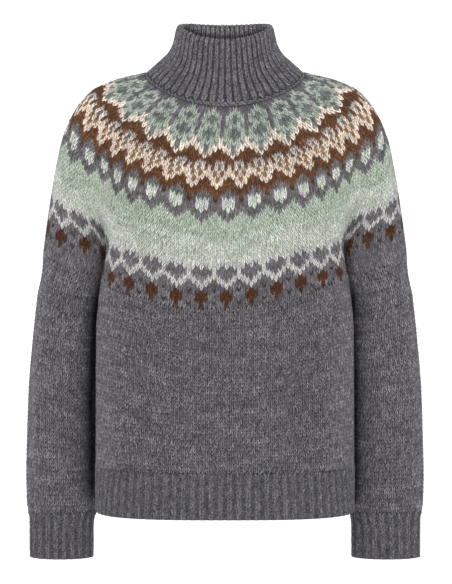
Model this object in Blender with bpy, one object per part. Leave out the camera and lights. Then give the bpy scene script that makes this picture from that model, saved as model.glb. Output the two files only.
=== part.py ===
"""Turtleneck sweater with a round yoke, filled out as if worn, with nobody in it.

Metres, +Z up. The front faces -Y and +X is the wearer's left. The origin is the middle of
the neck, level with the highest points of the shoulders. Every piece is a knitted wall with
real thickness and an open hollow: the neckband, the round yoke, the front and the back with
their ribbed hems, and two sleeves with ribbed cuffs.
"""

import bpy
import numpy as np

MM = 0.001

WALL = 3.0  # knitted cloth, millimetres
SEAM = 0.3  # between pieces that are linked or grafted together
RIB_HEIGHT = 1.3  # a knit rib above the purl furrow beside it
COLLAR_RIBS = 50
HEM_FRONT_RIBS = 46
HEM_BACK_RIBS = 44
CUFF_RIBS = 20

HEM_TOP_Z = -530.0
HEM_BOTTOM_Z = -590.0
CUFF_TOP_Z = -596.0
CUFF_BOTTOM_Z = -659.0

# columns of the yoke on one half: the chest, round the sleeve, the back
CHEST_COLUMNS = 14
SLEEVE_COLUMNS = 16
BACK_COLUMNS = 12
UNDERARM_COLUMNS = 6

# The sleeve's section at the foot of the yoke, and the width of the body between the sleeves
ARM_HALF_WIDTH = 43.3
ARM_HALF_DEPTH = 63.0
ARM_SQUARENESS = 2.5
CREASE_X = 165.0
CREASE_PINCH = 9.0
CHEST_SQUARENESS = 2.3
VALLEY_EASE = 5.0  # radius that rounds the fold at the foot of the yoke
FOLD_FADE = 22.0  # the fold is rounder by this much towards the neck

# The yoke from the neckband seam (depth 0) to the last row of its pattern (depth 1), mm.
# The crease is the fold between the sleeve and the chest, or the sleeve and the back.
YOKE_COLUMNS = (
    "depth front_y front_z outer_x outer_y outer_z back_y back_z crease_z rear_crease_z"
).split()
YOKE = (
    (0.000, -78, -51, 108.0, 0, 0.0, 78, 5, -26, 8),
    (0.125, -88, -83, 146.0, 1, -7.3, 88, -26, -44, -11),
    (0.250, -98, -116, 182.0, 3, -22.0, 97, -59, -66, -34),
    (0.375, -107, -149, 206.7, 6, -50.8, 105, -93, -98, -66),
    (0.500, -114.5, -183, 222.0, 9, -86.0, 112, -127, -133, -104),
    (0.625, -120, -216, 230.3, 13, -124.0, 118, -161, -168, -146),
    (0.750, -124, -250, 236.7, 17, -162.4, 123, -195, -203, -188),
    (0.875, -126.5, -283, 242.3, 20, -200.5, 127, -229, -238, -231),
    (1.000, -128, -317, 247.5, 23, -239.0, 130, -262, -272, -272),
)

# Half sections of the body below the yoke, mm
BODY_COLUMNS = "z half_width front_y back_y squareness".split()
BODY = (
    (-255, 161, -122, 129, 2.3),
    (-307, 169, -128, 130, 2.3),
    (-348, 173, -130, 129, 2.3),
    (-443, 174, -131, 127, 2.3),
    (-530, 174, -130, 125, 2.5),
    (-590, 173, -127, 121, 3.0),
)

# Sections of a sleeve below the yoke, mm
SLEEVE_TABLE_COLUMNS = "z centre_x centre_y half_width half_depth squareness".split()
SLEEVE = (
    (-235, 204.2, 23, 43.3, 63, 2.5),
    (-272, 211.5, 24, 38.5, 63, 2.4),
    (-307, 220.5, 25, 36.5, 62, 2.2),
    (-348, 223.0, 26, 39.0, 59, 2.1),
    (-443, 227.5, 26, 42.5, 53, 2.0),
    (-539, 227.5, 24, 44.5, 46, 2.0),
    (-580, 226.5, 22, 44.5, 41, 2.0),
    (-596, 225.0, 21, 44.0, 34, 2.0),
    (-604, 223.0, 20, 43.5, 30, 2.0),
    (-659, 222.8, 19, 43.2, 28, 2.0),
)
LEFT_GAP = -5.0  # the wearer's left sleeve hangs this much nearer to the body
RIGHT_GAP = 2.0
CORNER_SQUARENESS = 2.5  # the sleeve's inner back is fuller and closes the gap to the body
CORNER_REACH = 13.0

# The neckband from its seam (rise 0) to the fold at its top (rise 1), mm
COLLAR_COLUMNS = "rise half_width wall".split()
COLLAR = (
    (0.00, 108.0, 4.5),
    (0.10, 99.0, 5.5),
    (0.22, 90.0, 7.0),
    (0.40, 77.5, 7.0),
    (0.62, 70.0, 7.0),
    (0.85, 66.5, 7.0),
    (0.96, 64.5, 5.0),
    (1.00, 61.5, 0.8),
)
COLLAR_DEPTH_TO_WIDTH = 0.512

# Largest soft folds: where round the piece (0 front, 0.5 side, 1 back), height range, mm
FOLD_COLUMNS = "piece around top_z bottom_z width depth".split()
FOLDS = (
    ("body", 0.29, -300, -560, 26, 4.0),
    ("body", 0.21, -330, -540, 22, -2.5),
    ("body", -0.31, -310, -550, 24, 3.0),
    ("body", -0.22, -360, -560, 26, -2.0),
    ("body", 0.72, -300, -570, 30, 4.0),
    ("body", -0.66, -320, -560, 30, 3.5),
    ("sleeve", 0.22, -250, -590, 16, 3.0),
    ("sleeve", 0.36, -300, -580, 15, -2.5),
    ("sleeve", 0.74, -270, -580, 18, 3.0),
    ("sleeve", -0.70, -290, -570, 16, 2.5),
)


def table(names, rows):
    """Columns of a table by their names."""
    return {n: np.array(c) for n, c in zip(names, zip(*rows))}


def eased(x, xs, ys, level_ends=False):
    """A smooth curve through the points of a table, with no overshoot (monotone cubic)."""
    xs, ys = np.asarray(xs, float), np.asarray(ys, float)
    h, d = np.diff(xs), np.diff(ys) / np.diff(xs)
    m = np.zeros_like(ys)
    if not level_ends:
        m[0], m[-1] = d[0], d[-1]
    same = d[:-1] * d[1:] > 0
    a, b = 2 * h[1:] + h[:-1], h[1:] + 2 * h[:-1]
    safe = np.where(same, d[:-1], 1.0), np.where(same, d[1:], 1.0)
    m[1:-1] = np.where(same, (a + b) / (a / safe[0] + b / safe[1]), 0.0)
    x = np.clip(x, xs[0], xs[-1])
    k = np.clip(np.searchsorted(xs, x, side="right") - 1, 0, len(h) - 1)
    t = (x - xs[k]) / h[k]
    return (
        (1 + 2 * t) * (1 - t) ** 2 * ys[k]
        + t * (1 - t) ** 2 * h[k] * m[k]
        + t * t * (3 - 2 * t) * ys[k + 1]
        + t * t * (t - 1) * h[k] * m[k + 1]
    )


def smoothstep(x):
    x = np.clip(x, 0, 1)
    return x * x * (3 - 2 * x)


def along(points, shares):
    """Points at the given shares of a polyline's length."""
    steps = np.linalg.norm(np.diff(points, axis=0), axis=1)
    s = np.concatenate([[0], np.cumsum(steps)])
    s /= s[-1]
    return np.stack([np.interp(shares, s, points[:, k]) for k in range(points.shape[1])], 1)


def length(points):
    return np.linalg.norm(np.diff(points, axis=0), axis=1).sum()


def bow(angle, power):
    """Sine and cosine of an angle, squared off for a superellipse."""
    s, c = np.sin(angle), np.cos(angle)
    return np.sign(s) * np.abs(s) ** (2 / power), np.sign(c) * np.abs(c) ** (2 / power)


yoke = table(YOKE_COLUMNS, YOKE)
body = table(BODY_COLUMNS, BODY)
sleeve = table(SLEEVE_TABLE_COLUMNS, SLEEVE)
collar = table(COLLAR_COLUMNS, COLLAR)


def at_depth(name, v):
    return float(eased(v, yoke["depth"], yoke[name]))


def smooth_yoke_half(v, shares):
    """Half of a yoke ring above the arms: one oval from the front to the back, in plan."""
    a = np.linspace(0, np.pi, 361)
    ox, oy = at_depth("outer_x", v), at_depth("outer_y", v)
    y = np.where(
        a < np.pi / 2,
        oy * np.sin(a) ** 2 + at_depth("front_y", v) * np.cos(a),
        oy * np.sin(a) ** 2 - at_depth("back_y", v) * np.cos(a),
    )
    return along(np.stack([ox * np.sin(a), y], 1), shares)


def arm_section(v):
    """Centre of the sleeve's section at a depth of the yoke, and its crease angle."""
    centre_x = at_depth("outer_x", v) - ARM_HALF_WIDTH
    pinch = CREASE_PINCH * np.sin(np.pi * np.clip((v - 0.55) / 0.45, 0, 1))
    crease_x = CREASE_X - pinch
    reach = np.clip((centre_x - crease_x) / ARM_HALF_WIDTH, 0.2, 0.97)
    angle = np.pi - np.arccos(reach ** (ARM_SQUARENESS / 2))
    return centre_x, at_depth("outer_y", v), angle


def arm_arc(v, start, end, count=181):
    """Part of the sleeve's section, by its angle, counter-clockwise seen from above."""
    cx, cy, _ = arm_section(v)
    s, c = bow(np.linspace(start, end, count), ARM_SQUARENESS)
    return np.stack([cx + ARM_HALF_WIDTH * c, cy + ARM_HALF_DEPTH * s], 1)


def creased_yoke_half(v):
    """The three arcs of a yoke ring beside the arms: chest, round the sleeve, back."""
    _, _, angle = arm_section(v)
    sleeve_arc = arm_arc(v, -angle, angle)
    front, rear = sleeve_arc[0], sleeve_arc[-1]
    s, c = bow(np.linspace(0, np.pi / 2, 181), CHEST_SQUARENESS)
    fy, by = at_depth("front_y", v), at_depth("back_y", v)
    chest = np.stack([front[0] * s, front[1] + (fy - front[1]) * c], 1)
    back = np.stack([rear[0] * c, rear[1] + (by - rear[1]) * s], 1)
    return chest, sleeve_arc, back


ARCS = [length(a) for a in creased_yoke_half(1.0)]
CREASE_AT = ARCS[0] / sum(ARCS)
REAR_CREASE_AT = (ARCS[0] + ARCS[1]) / sum(ARCS)


def yoke_shares():
    """Where the yoke's columns stand on one half, 0 at the front and 1 at the back."""
    return np.concatenate(
        [
            np.linspace(0, CREASE_AT, CHEST_COLUMNS + 1)[:-1],
            np.linspace(CREASE_AT, REAR_CREASE_AT, SLEEVE_COLUMNS + 1)[:-1],
            np.linspace(REAR_CREASE_AT, 1, BACK_COLUMNS + 1),
        ]
    )


def yoke_half(v, shares):
    """Half a ring of the yoke in space: an oval above that turns into chest, sleeve and
    back arcs below, with the fold between them rounded by a short running mean."""
    fine = np.linspace(0, 1, 721)
    oval = smooth_yoke_half(v, fine)
    bounds = (0, CREASE_AT, REAR_CREASE_AT, 1)
    arcs = creased_yoke_half(v)
    creased = np.empty_like(oval)
    for k, arc in enumerate(arcs):
        inside = (fine >= bounds[k]) & (fine <= bounds[k + 1])
        creased[inside] = along(arc, (fine[inside] - bounds[k]) / (bounds[k + 1] - bounds[k]))
    mix = smoothstep((v - 0.40) / 0.55)
    plan = oval + (creased - oval) * mix
    reach = int(round((VALLEY_EASE + FOLD_FADE * (1 - v)) / (sum(ARCS) / 720)))
    weights = np.exp(-0.5 * (np.arange(-3 * reach, 3 * reach + 1) / reach) ** 2)
    weights /= weights.sum()
    mirrored = plan[3 * reach : 0 : -1] * (-1, 1), plan[-2 : -3 * reach - 2 : -1] * (-1, 1)
    padded = np.concatenate([mirrored[0], plan, mirrored[1]])
    plan = np.stack([np.convolve(padded[:, k], weights, "valid") for k in (0, 1)], 1)
    plan[[0, -1], 0] = 0
    side = 0.5 * (CREASE_AT + REAR_CREASE_AT)
    flat = 0.022 * v
    stations = (0, CREASE_AT - flat, CREASE_AT + flat + 0.001, side)
    rear = (REAR_CREASE_AT - flat - 0.001, REAR_CREASE_AT + flat, 1)
    heights = [at_depth(n, v) for n in ("front_z", "crease_z", "crease_z", "outer_z")]
    heights += [at_depth(n, v) for n in ("rear_crease_z", "rear_crease_z", "back_z")]
    z = eased(shares, stations + rear, heights, level_ends=True)
    if v < 0.5:
        z = z + (neck_drop(shares) - neck_eased(shares)) * (1 - 2 * v) ** 2
    return np.column_stack([np.interp(shares, fine, plan[:, k]) for k in (0, 1)] + [z])


def neck_drop(shares):
    """Height of the neckband seam: it falls in front and climbs a little behind."""
    t = -smooth_yoke_half(0.0, np.asarray(shares))[:, 1] / 78.0
    return -23.0 * t * t - 28.0 * t


def neck_eased(shares):
    """The same height as the yoke's table alone would give it."""
    side = 0.5 * (CREASE_AT + REAR_CREASE_AT)
    stations = (0, CREASE_AT, CREASE_AT + 0.001, side, REAR_CREASE_AT - 0.001, REAR_CREASE_AT, 1)
    names = "front_z crease_z crease_z outer_z rear_crease_z rear_crease_z back_z".split()
    return eased(shares, stations, [at_depth(n, 0.0) for n in names], level_ends=True)


def whole_ring(half):
    """A closed ring, counter-clockwise from the front, out of its half on the +X side."""
    return np.concatenate([half, (half * (-1, 1, 1))[-2:0:-1]])


def folds(piece, around, z, side):
    """How far the soft folds push the cloth out, at shares round a piece and heights."""
    out = np.zeros(np.broadcast(around, z).shape)
    for f in (dict(zip(FOLD_COLUMNS, row)) for row in FOLDS):
        if f["piece"] != piece:
            continue
        girth = 480.0 if piece == "body" else 150.0
        here = f["around"] * (side if piece == "sleeve" else 1)
        gap = (around - here + 1) % 2 - 1
        span = np.clip((f["top_z"] - z) / (f["top_z"] - f["bottom_z"]), 0, 1)
        out = out + f["depth"] * np.sin(np.pi * span) ** 2 * np.exp(-((gap * girth / f["width"]) ** 2))
    return out


def body_half_section(z, shares):
    """The body's oval at a height, from the front to the back, in plan."""
    a = np.linspace(0, np.pi, 361)
    get = {n: float(eased(-z, -body["z"], body[n])) for n in BODY_COLUMNS}
    s, c = bow(a, get["squareness"])
    y = np.where(a < np.pi / 2, get["front_y"] * c, -get["back_y"] * c)
    return along(np.stack([get["half_width"] * s, y], 1), shares)


def body_point(z, shares):
    """Body points at heights and signed shares, -1 to 1, positive on the +X side."""
    out = np.empty((len(shares), 3))
    for k, (height, share) in enumerate(zip(z, shares)):
        x, y = body_half_section(height, np.array([abs(share)]))[0]
        out[k] = x * np.sign(share), y, height
    return out


def pushed(points, amount, closed=True):
    """Points moved straight out in plan, across the ring that they lie on."""
    after = np.roll(points, -1, 0) if closed else np.vstack([points[1:], points[-1:]])
    before = np.roll(points, 1, 0) if closed else np.vstack([points[:1], points[:-1]])
    run = (after - before)[:, :2]
    run /= np.linalg.norm(run, axis=1)[:, None]
    outward = np.column_stack([run[:, 1], -run[:, 0], np.zeros(len(run))])
    return points + outward * np.reshape(amount, (-1, 1))


def inward(grid, closed=True):
    """Unit vectors into the garment at each point of a grid of rows from top to bottom."""
    if closed:
        du = np.roll(grid, -1, 1) - np.roll(grid, 1, 1)
    else:
        du = np.gradient(grid, axis=1)
    n = np.cross(du, np.gradient(grid, axis=0))
    return n / np.linalg.norm(n, axis=2, keepdims=True)


def level(vectors):
    """The same directions, laid level."""
    flat = vectors * (1, 1, 0)
    return flat / np.linalg.norm(flat, axis=-1, keepdims=True)


def zipped(first, second, shares_a, shares_b, closed, flip):
    """Triangles between two rows of point numbers, by their shares round the ring."""
    i = j = 0
    faces = []
    ends = len(first) - (not closed), len(second) - (not closed)
    share = lambda s, k: s[k] if k < len(s) else 1 + s[0]
    while i < ends[0] or j < ends[1]:
        a, b = first[i % len(first)], second[j % len(second)]
        step_a = share(shares_a, i + 1) if i < ends[0] else 9
        step_b = share(shares_b, j + 1) if j < ends[1] else 9
        if step_a <= step_b:
            i += 1
            faces.append((a, b, first[i % len(first)]))
        else:
            j += 1
            faces.append((a, b, second[j % len(second)]))
    return [f[::-1] for f in faces] if flip else faces


def strip(numbers, points, closed, flip):
    """Triangles over a grid of point numbers, each square cut along its shorter diagonal."""
    nxt = np.roll(numbers, -1, 1) if closed else numbers[:, 1:]
    now = numbers if closed else numbers[:, :-1]
    a, b, c, d = (g.ravel() for g in (now[:-1], now[1:], nxt[1:], nxt[:-1]))
    ac = np.linalg.norm(points[a] - points[c], axis=1)
    bd = np.linalg.norm(points[b] - points[d], axis=1)
    by_ac = (ac <= bd + 1e-6)[:, None]
    first = np.where(by_ac, np.stack([a, b, c], 1), np.stack([a, b, d], 1))
    second = np.where(by_ac, np.stack([a, c, d], 1), np.stack([b, c, d], 1))
    faces = np.concatenate([first, second])
    return (faces[:, ::-1] if flip else faces).tolist()


def wall(name, colour, outer, inner, closed=True, shares=None):
    """A closed solid between an outer and an inner grid, whose rows run from the top to the
    bottom and whose columns run counter-clockwise. The grids may differ in both counts."""
    n, m = outer.shape[1], inner.shape[1]
    if shares is None:
        shares = np.arange(n) / n, np.arange(m) / m
    a = np.arange(outer.shape[0] * n).reshape(-1, n)
    b = np.arange(inner.shape[0] * m).reshape(-1, m) + a.size
    points = np.concatenate([outer.reshape(-1, 3), inner.reshape(-1, 3)])
    faces = strip(a, points, closed, False) + strip(b, points, closed, True)
    faces += zipped(a[0], b[0], *shares, closed, True)
    faces += zipped(a[-1], b[-1], *shares, closed, False)
    if not closed:
        for col, flip in ((0, False), (-1, True)):
            ra, rb = np.linspace(0, 1, len(a)), np.linspace(0, 1, len(b))
            faces += zipped(a[:, col], b[:, col], ra, rb, False, flip)
    mesh = bpy.data.meshes.new(name)
    mesh.from_pydata((points * MM).tolist(), [], faces)
    mesh.validate()
    mesh.update()
    mesh.shade_smooth()
    material = bpy.data.materials.new(name + " wool")
    material.use_nodes = True
    shader = material.node_tree.nodes["Principled BSDF"]
    shader.inputs["Base Color"].default_value = (*colour, 1)
    shader.inputs["Roughness"].default_value = 0.92
    shader.inputs["Metallic"].default_value = 0.0
    mesh.materials.append(material)
    thing = bpy.data.objects.new(name, mesh)
    bpy.context.scene.collection.objects.link(thing)
    return thing


GREY = (0.155, 0.150, 0.165)
MINT = (0.36, 0.56, 0.40)


def seam_directions():
    """Into the garment along the neckband seam and along the foot of the yoke."""
    shares = yoke_shares()
    top = np.stack([whole_ring(yoke_half(v, shares)) for v in (0.0, 0.03)])
    foot = np.stack([whole_ring(yoke_half(v, shares)) for v in (0.97, 1.0)])
    return inward(top)[0], level(inward(foot)[1])


def build_yoke():
    """Rings from the neckband seam down to the last row of the pattern."""
    shares = yoke_shares()
    depths = np.array([0.0, 0.1, 0.2, 0.3, 0.4, 0.5, 0.6, 0.7, 0.8, 0.9, 1.0])
    outer = np.stack([whole_ring(yoke_half(v, shares)) for v in depths])
    into = inward(outer)
    into[0], into[-1] = seam_directions()
    return wall("yoke", MINT, outer, outer + into * WALL)


def body_ring_half():
    """The body's top ring on the +X side: chest, underarm and back, with their shares."""
    ring = yoke_half(1.0, yoke_shares())
    chest = ring[: CHEST_COLUMNS + 1]
    back = ring[CHEST_COLUMNS + SLEEVE_COLUMNS :]
    under = underarm(chest[-1], back[0])
    half = np.concatenate([chest, under, back])
    steps = np.linalg.norm(np.diff(half[:, :2], axis=0), axis=1)
    s = np.concatenate([[0], np.cumsum(steps)])
    return half, s / s[-1]


def underarm(front, rear):
    """The graft under the arm, from the front crease to the rear one, without its ends."""
    _, _, angle = arm_section(1.0)
    arc = arm_arc(1.0, -angle, angle - 2 * np.pi)
    t = np.linspace(0, 1, UNDERARM_COLUMNS + 1)[1:-1]
    arc = along(arc, t)
    ends = along(arm_arc(1.0, -angle, angle - 2 * np.pi), np.array([0.0, 1.0]))
    arc = arc + (front[:2] - ends[0]) * (1 - t)[:, None] + (rear[:2] - ends[1]) * t[:, None]
    return np.column_stack([arc, front[2] + (rear[2] - front[2]) * t])


def build_body():
    """The front and the back: from the yoke's foot and the underarm graft down to the rib."""
    half, share = body_ring_half()
    middle = CHEST_COLUMNS + UNDERARM_COLUMNS // 2
    signed = np.concatenate([-share[::-1], share[1:]])
    top = np.concatenate([(half * (-1, 1, 1))[::-1], half[1:]])
    top[:, 2] -= SEAM
    falls = (0.0, 0.07, 0.18, 0.34, 0.52, 0.72, 1.0)
    rows = []
    for w in falls:
        z = top[:, 2] + (HEM_TOP_Z - top[:, 2]) * w
        row = body_point(z, signed)
        start = top - body_point(top[:, 2], signed)
        row[:, :2] += (start * (1 - w) ** 2.6)[:, :2]
        rows.append(pushed(row, folds("body", signed, z, 1), closed=False) if 0 < w < 1 else row)
    grid = np.stack(rows)
    grid[-1] = pushed(grid[-1], folds("body", signed, grid[-1, :, 2], 1), closed=False)
    ring = grid[:, :-1]
    into = inward(ring)
    into[0], into[-1] = level(into[0]), level(into[-1])
    centre = len(share) - 1
    front = np.arange(centre - middle, centre + middle + 1)
    back = np.arange(centre + middle, centre - middle + 2 * centre + 1) % (2 * centre)
    for name, columns, colour in (("body_front", front, GREY), ("body_back", back, GREY)):
        outer = ring[:, columns].copy()
        side = into[:, columns]
        run = np.gradient(outer, axis=1)
        run /= np.linalg.norm(run, axis=2, keepdims=True)
        outer[:, 0] += run[:, 0] * SEAM / 2
        outer[:, -1] -= run[:, -1] * SEAM / 2
        wall(name, colour, outer, outer + side * WALL, closed=False,
             shares=(np.linspace(0, 1, len(columns)),) * 2)
    return share[middle]


def ribbed(points, count, closed=True):
    """Raises each rib's two outer points of three over the furrow between ribs."""
    raised = np.tile((0.0, 1.0, 1.0), count)
    if not closed:
        raised = np.append(raised, 0.0)
    return pushed(points, raised * RIB_HEIGHT, closed)


def rib_columns(count, closed=True):
    """Shares for furrow, rib, rib in each rib."""
    k = np.arange(count)[:, None]
    shares = ((k + (0.0, 0.3, 0.7)) / count).ravel()
    return shares if closed else np.append(shares, 1.0)


def build_hem(side_share):
    """The two ribbed hems, each hanging from its panel, with the ribs raised outside."""
    heights = np.array([HEM_TOP_Z - SEAM, -562.0, HEM_BOTTOM_Z])
    panels = (
        ("hem_front", HEM_FRONT_RIBS, -side_share, side_share),
        ("hem_back", HEM_BACK_RIBS, side_share, 2 - side_share),
    )
    for name, count, start, end in panels:
        columns = rib_columns(count, closed=False)
        plain = np.linspace(0, 1, count + 1)
        grids = []
        for shares in (columns, plain):
            around = start + (end - start) * shares
            around = np.where(around > 1, around - 2, around)
            rows = []
            for z in heights:
                level_z = np.full(len(around), z)
                lift = folds("body", around, level_z, 1)
                rows.append(pushed(body_point(level_z, around), lift, closed=False))
            grids.append(np.stack(rows))
        outer = np.stack([ribbed(row, count, closed=False) for row in grids[0]])
        inner = np.stack([pushed(row, -WALL, closed=False) for row in grids[1]])
        for grid in (outer, inner):
            grid[:, 0, 1] += SEAM / 2 * (-1 if start < 0 else 1)
            grid[:, -1, 1] += SEAM / 2 * (-1 if start < 0 else 1)
        wall(name, GREY, outer, inner, closed=False, shares=(columns, plain))


def inner_corner(height, angles):
    """How much of the sleeve's corner stands at each angle of its oval: only at the inner
    back, where the sleeve rests beside the body, and neither at the armhole nor the cuff's edge."""
    span = smoothstep((-height - 290) / 60) * (1 - smoothstep((-height - 584) / 40))
    quarter = (angles > np.pi / 2) & (angles < np.pi)
    return span * np.where(quarter, np.sin(2 * angles) ** 2, 0)


def sleeve_ring(z, shares, side):
    """A sleeve's oval at heights and shares: 0 at its outer edge, then the back."""
    out = np.empty((len(shares), 3))
    angles = np.linspace(0, 2 * np.pi, 721)
    for k, (height, share) in enumerate(zip(z, shares)):
        g = {n: float(eased(-height, -sleeve["z"], sleeve[n])) for n in SLEEVE_TABLE_COLUMNS}
        gap = (LEFT_GAP if side > 0 else RIGHT_GAP) * smoothstep((-height - 290) / 60)
        corner = inner_corner(height, angles)
        s, c = bow(angles, g["squareness"] + CORNER_SQUARENESS * corner)
        oval = np.stack(
            [
                g["centre_x"] + gap / 2 + (g["half_width"] - gap / 2) * c - CORNER_REACH * corner,
                g["centre_y"] + g["half_depth"] * s,
            ],
            1,
        )
        x, y = along(oval, np.array([share % 1.0]))[0]
        out[k] = x, y, height
    return out


def build_sleeve(name, side):
    """A sleeve from the yoke's foot and the underarm graft down to its cuff."""
    ring = yoke_half(1.0, yoke_shares())
    over = ring[CHEST_COLUMNS : CHEST_COLUMNS + SLEEVE_COLUMNS + 1]
    under = underarm(over[0], over[-1])[::-1]
    start = np.concatenate([over, under])
    start[:, 2] -= SEAM
    start[SLEEVE_COLUMNS:, 0] += SEAM
    start[0, 0] += SEAM
    middle = SLEEVE_COLUMNS // 2
    start = np.roll(start, -middle, 0)
    steps = np.linalg.norm(np.diff(np.vstack([start, start[:1]])[:, :2], axis=0), axis=1)
    shares = np.concatenate([[0], np.cumsum(steps)[:-1]]) / steps.sum()
    rows = []
    for w in (0.0, 0.06, 0.16, 0.30, 0.46, 0.62, 0.78, 0.92, 1.0):
        z = start[:, 2] + (CUFF_TOP_Z - start[:, 2]) * w
        row = sleeve_ring(z, shares, side)
        shift = start - sleeve_ring(start[:, 2], shares, side)
        row[:, :2] += (shift * (1 - w) ** 3)[:, :2]
        around = ((shares - 0.75) * 2 + 1) % 2 - 1
        rows.append(pushed(row, folds("sleeve", around, z, 1) * (w < 1)) if w else row)
    outer = np.stack(rows)
    into = inward(outer)
    into[0], into[-1] = level(into[0]), level(into[-1])
    inner = outer + into * WALL
    if side < 0:
        outer, inner = ((g * (-1, 1, 1))[:, ::-1] for g in (outer, inner))
    wall(name, GREY, outer, inner)


def build_cuff(name, side):
    """A ribbed cuff, a little narrower than the sleeve that is gathered into it."""
    heights = np.array([CUFF_TOP_Z - SEAM, CUFF_TOP_Z - 8, -630.0, CUFF_BOTTOM_Z])
    grids = []
    for shares in (rib_columns(CUFF_RIBS), np.arange(CUFF_RIBS) / CUFF_RIBS):
        rows = [sleeve_ring(np.full(len(shares), z), shares, side) for z in heights]
        grids.append(np.stack(rows))
    outer = np.stack([ribbed(row, CUFF_RIBS) for row in grids[0]])
    inner = np.stack([pushed(row, -WALL) for row in grids[1]])
    shares = rib_columns(CUFF_RIBS), np.arange(CUFF_RIBS) / CUFF_RIBS
    if side < 0:
        outer, inner = ((g * (-1, 1, 1))[:, ::-1] for g in (outer, inner))
        shares = tuple(1 - s[::-1] - (1 - s[-1]) for s in shares)
    wall(name, GREY, outer, inner, shares=shares)


def collar_ring(rise, half_width, shares):
    """An oval of the neckband that climbs from its sloping seam to its sloping fold."""
    base = whole_ring(yoke_half(0.0, np.linspace(0, 1, 181)))
    steps = np.linalg.norm(np.diff(np.vstack([base, base[:1]]), axis=0), axis=1)
    around = np.concatenate([[0], np.cumsum(steps)]) / steps.sum()
    loop = np.vstack([base, base[:1]])
    p = np.stack([np.interp(shares, around, loop[:, k]) for k in range(3)], 1)
    t = -p[:, 1] / 78.0
    top_z = 66 - 18 * t - 9 * t * t
    wide = half_width / 108.0
    deep = (78 + (half_width - 108) * COLLAR_DEPTH_TO_WIDTH) / 78.0
    z = p[:, 2] + (top_z - p[:, 2]) * rise
    return np.column_stack([p[:, 0] * wide, p[:, 1] * deep, z])


def build_collar():
    """The doubled neckband: ribs raised outside over a plain inside, rolled at its fold."""
    outer_shares = rib_columns(COLLAR_RIBS)
    inner_shares = np.arange(COLLAR_RIBS) / COLLAR_RIBS
    rises = collar["rise"][::-1]
    outer, inner = [], []
    for shares, grid in ((outer_shares, outer), (inner_shares, inner)):
        for rise, width in zip(rises, collar["half_width"][::-1]):
            grid.append(collar_ring(rise, width, shares))
    outer, inner = np.stack(outer), np.stack(inner)
    into = inward(inner)
    into[-1] = 0
    rings = yoke_shares()
    whole = np.concatenate([rings, 2 - rings[-2:0:-1]]) / 2
    seam, _ = seam_directions()
    for k in range(3):
        into[-1, :, k] = np.interp(inner_shares, np.append(whole, 1), np.append(seam[:, k], seam[0, k]))
    inner = inner + into * collar["wall"][::-1][:, None, None]
    raise_by = np.array([0.0, 0.8, 1.0, 1.0, 1.0, 1.0, 0.6, 0.0])
    crest = np.tile((0.0, 1.0, 1.0), COLLAR_RIBS) * RIB_HEIGHT
    outer = np.stack([pushed(row, crest * r) for row, r in zip(outer, raise_by)])
    lift = seam_lift(outer_shares)
    outer[-1] += lift
    inner[-1] += seam_lift(inner_shares)
    wall("collar", GREY, outer, inner, shares=(outer_shares, inner_shares))


def seam_lift(shares):
    """Up and in from the seam along the neckband, by the gap that parts it from the yoke."""
    low, high = collar_ring(0.0, 108.0, shares), collar_ring(0.1, 99.0, shares)
    run = high - low
    return run / np.linalg.norm(run, axis=1)[:, None] * SEAM * 1.6


for old in list(bpy.data.objects):
    bpy.data.objects.remove(old, do_unlink=True)

build_collar()
build_yoke()
SIDE_SHARE = build_body()
build_hem(SIDE_SHARE)
build_sleeve("sleeve_left", 1)
build_sleeve("sleeve_right", -1)
build_cuff("cuff_left", 1)
build_cuff("cuff_right", -1)
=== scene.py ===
"""Turtleneck sweater with a round patterned yoke, filled out as if worn, knitted stitch by stitch.

The frame is in metres, +Z up. The front faces -Y and +X is the wearer's left. Tables and
surfaces are in millimetres. Every knitted piece is a thin closed shell, with a raised pair of
legs on it for each stitch, and each stitch has the colour that the knitting chart gives it.
"""

import math

import bpy
import numpy as np
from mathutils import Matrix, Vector


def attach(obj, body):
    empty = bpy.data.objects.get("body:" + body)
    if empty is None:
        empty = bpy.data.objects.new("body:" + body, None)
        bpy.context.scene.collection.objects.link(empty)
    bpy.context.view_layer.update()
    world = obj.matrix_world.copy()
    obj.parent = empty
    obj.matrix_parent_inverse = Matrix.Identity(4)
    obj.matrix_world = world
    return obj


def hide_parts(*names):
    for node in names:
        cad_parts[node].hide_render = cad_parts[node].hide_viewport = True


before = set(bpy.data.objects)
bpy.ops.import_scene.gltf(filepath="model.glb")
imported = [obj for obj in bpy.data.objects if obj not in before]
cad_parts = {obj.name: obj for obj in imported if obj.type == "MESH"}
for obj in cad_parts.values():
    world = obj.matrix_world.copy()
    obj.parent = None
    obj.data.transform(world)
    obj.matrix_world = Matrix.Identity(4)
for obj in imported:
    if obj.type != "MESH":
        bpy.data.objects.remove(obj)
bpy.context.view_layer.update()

MM = 0.001
WALL = 3.0
SHELL_DEPTH = 0.35
SEAM = 0.3
RIB_HEIGHT = 1.3
HEM_TOP_Z = -530.0
HEM_BOTTOM_Z = -590.0
CUFF_TOP_Z = -596.0
CUFF_BOTTOM_Z = -659.0

ARM_HALF_WIDTH = 43.3
ARM_HALF_DEPTH = 63.0
ARM_SQUARENESS = 2.5
CREASE_X = 165.0
CREASE_PINCH = 9.0
CHEST_SQUARENESS = 2.3
VALLEY_EASE = 5.0
FOLD_FADE = 22.0

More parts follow.
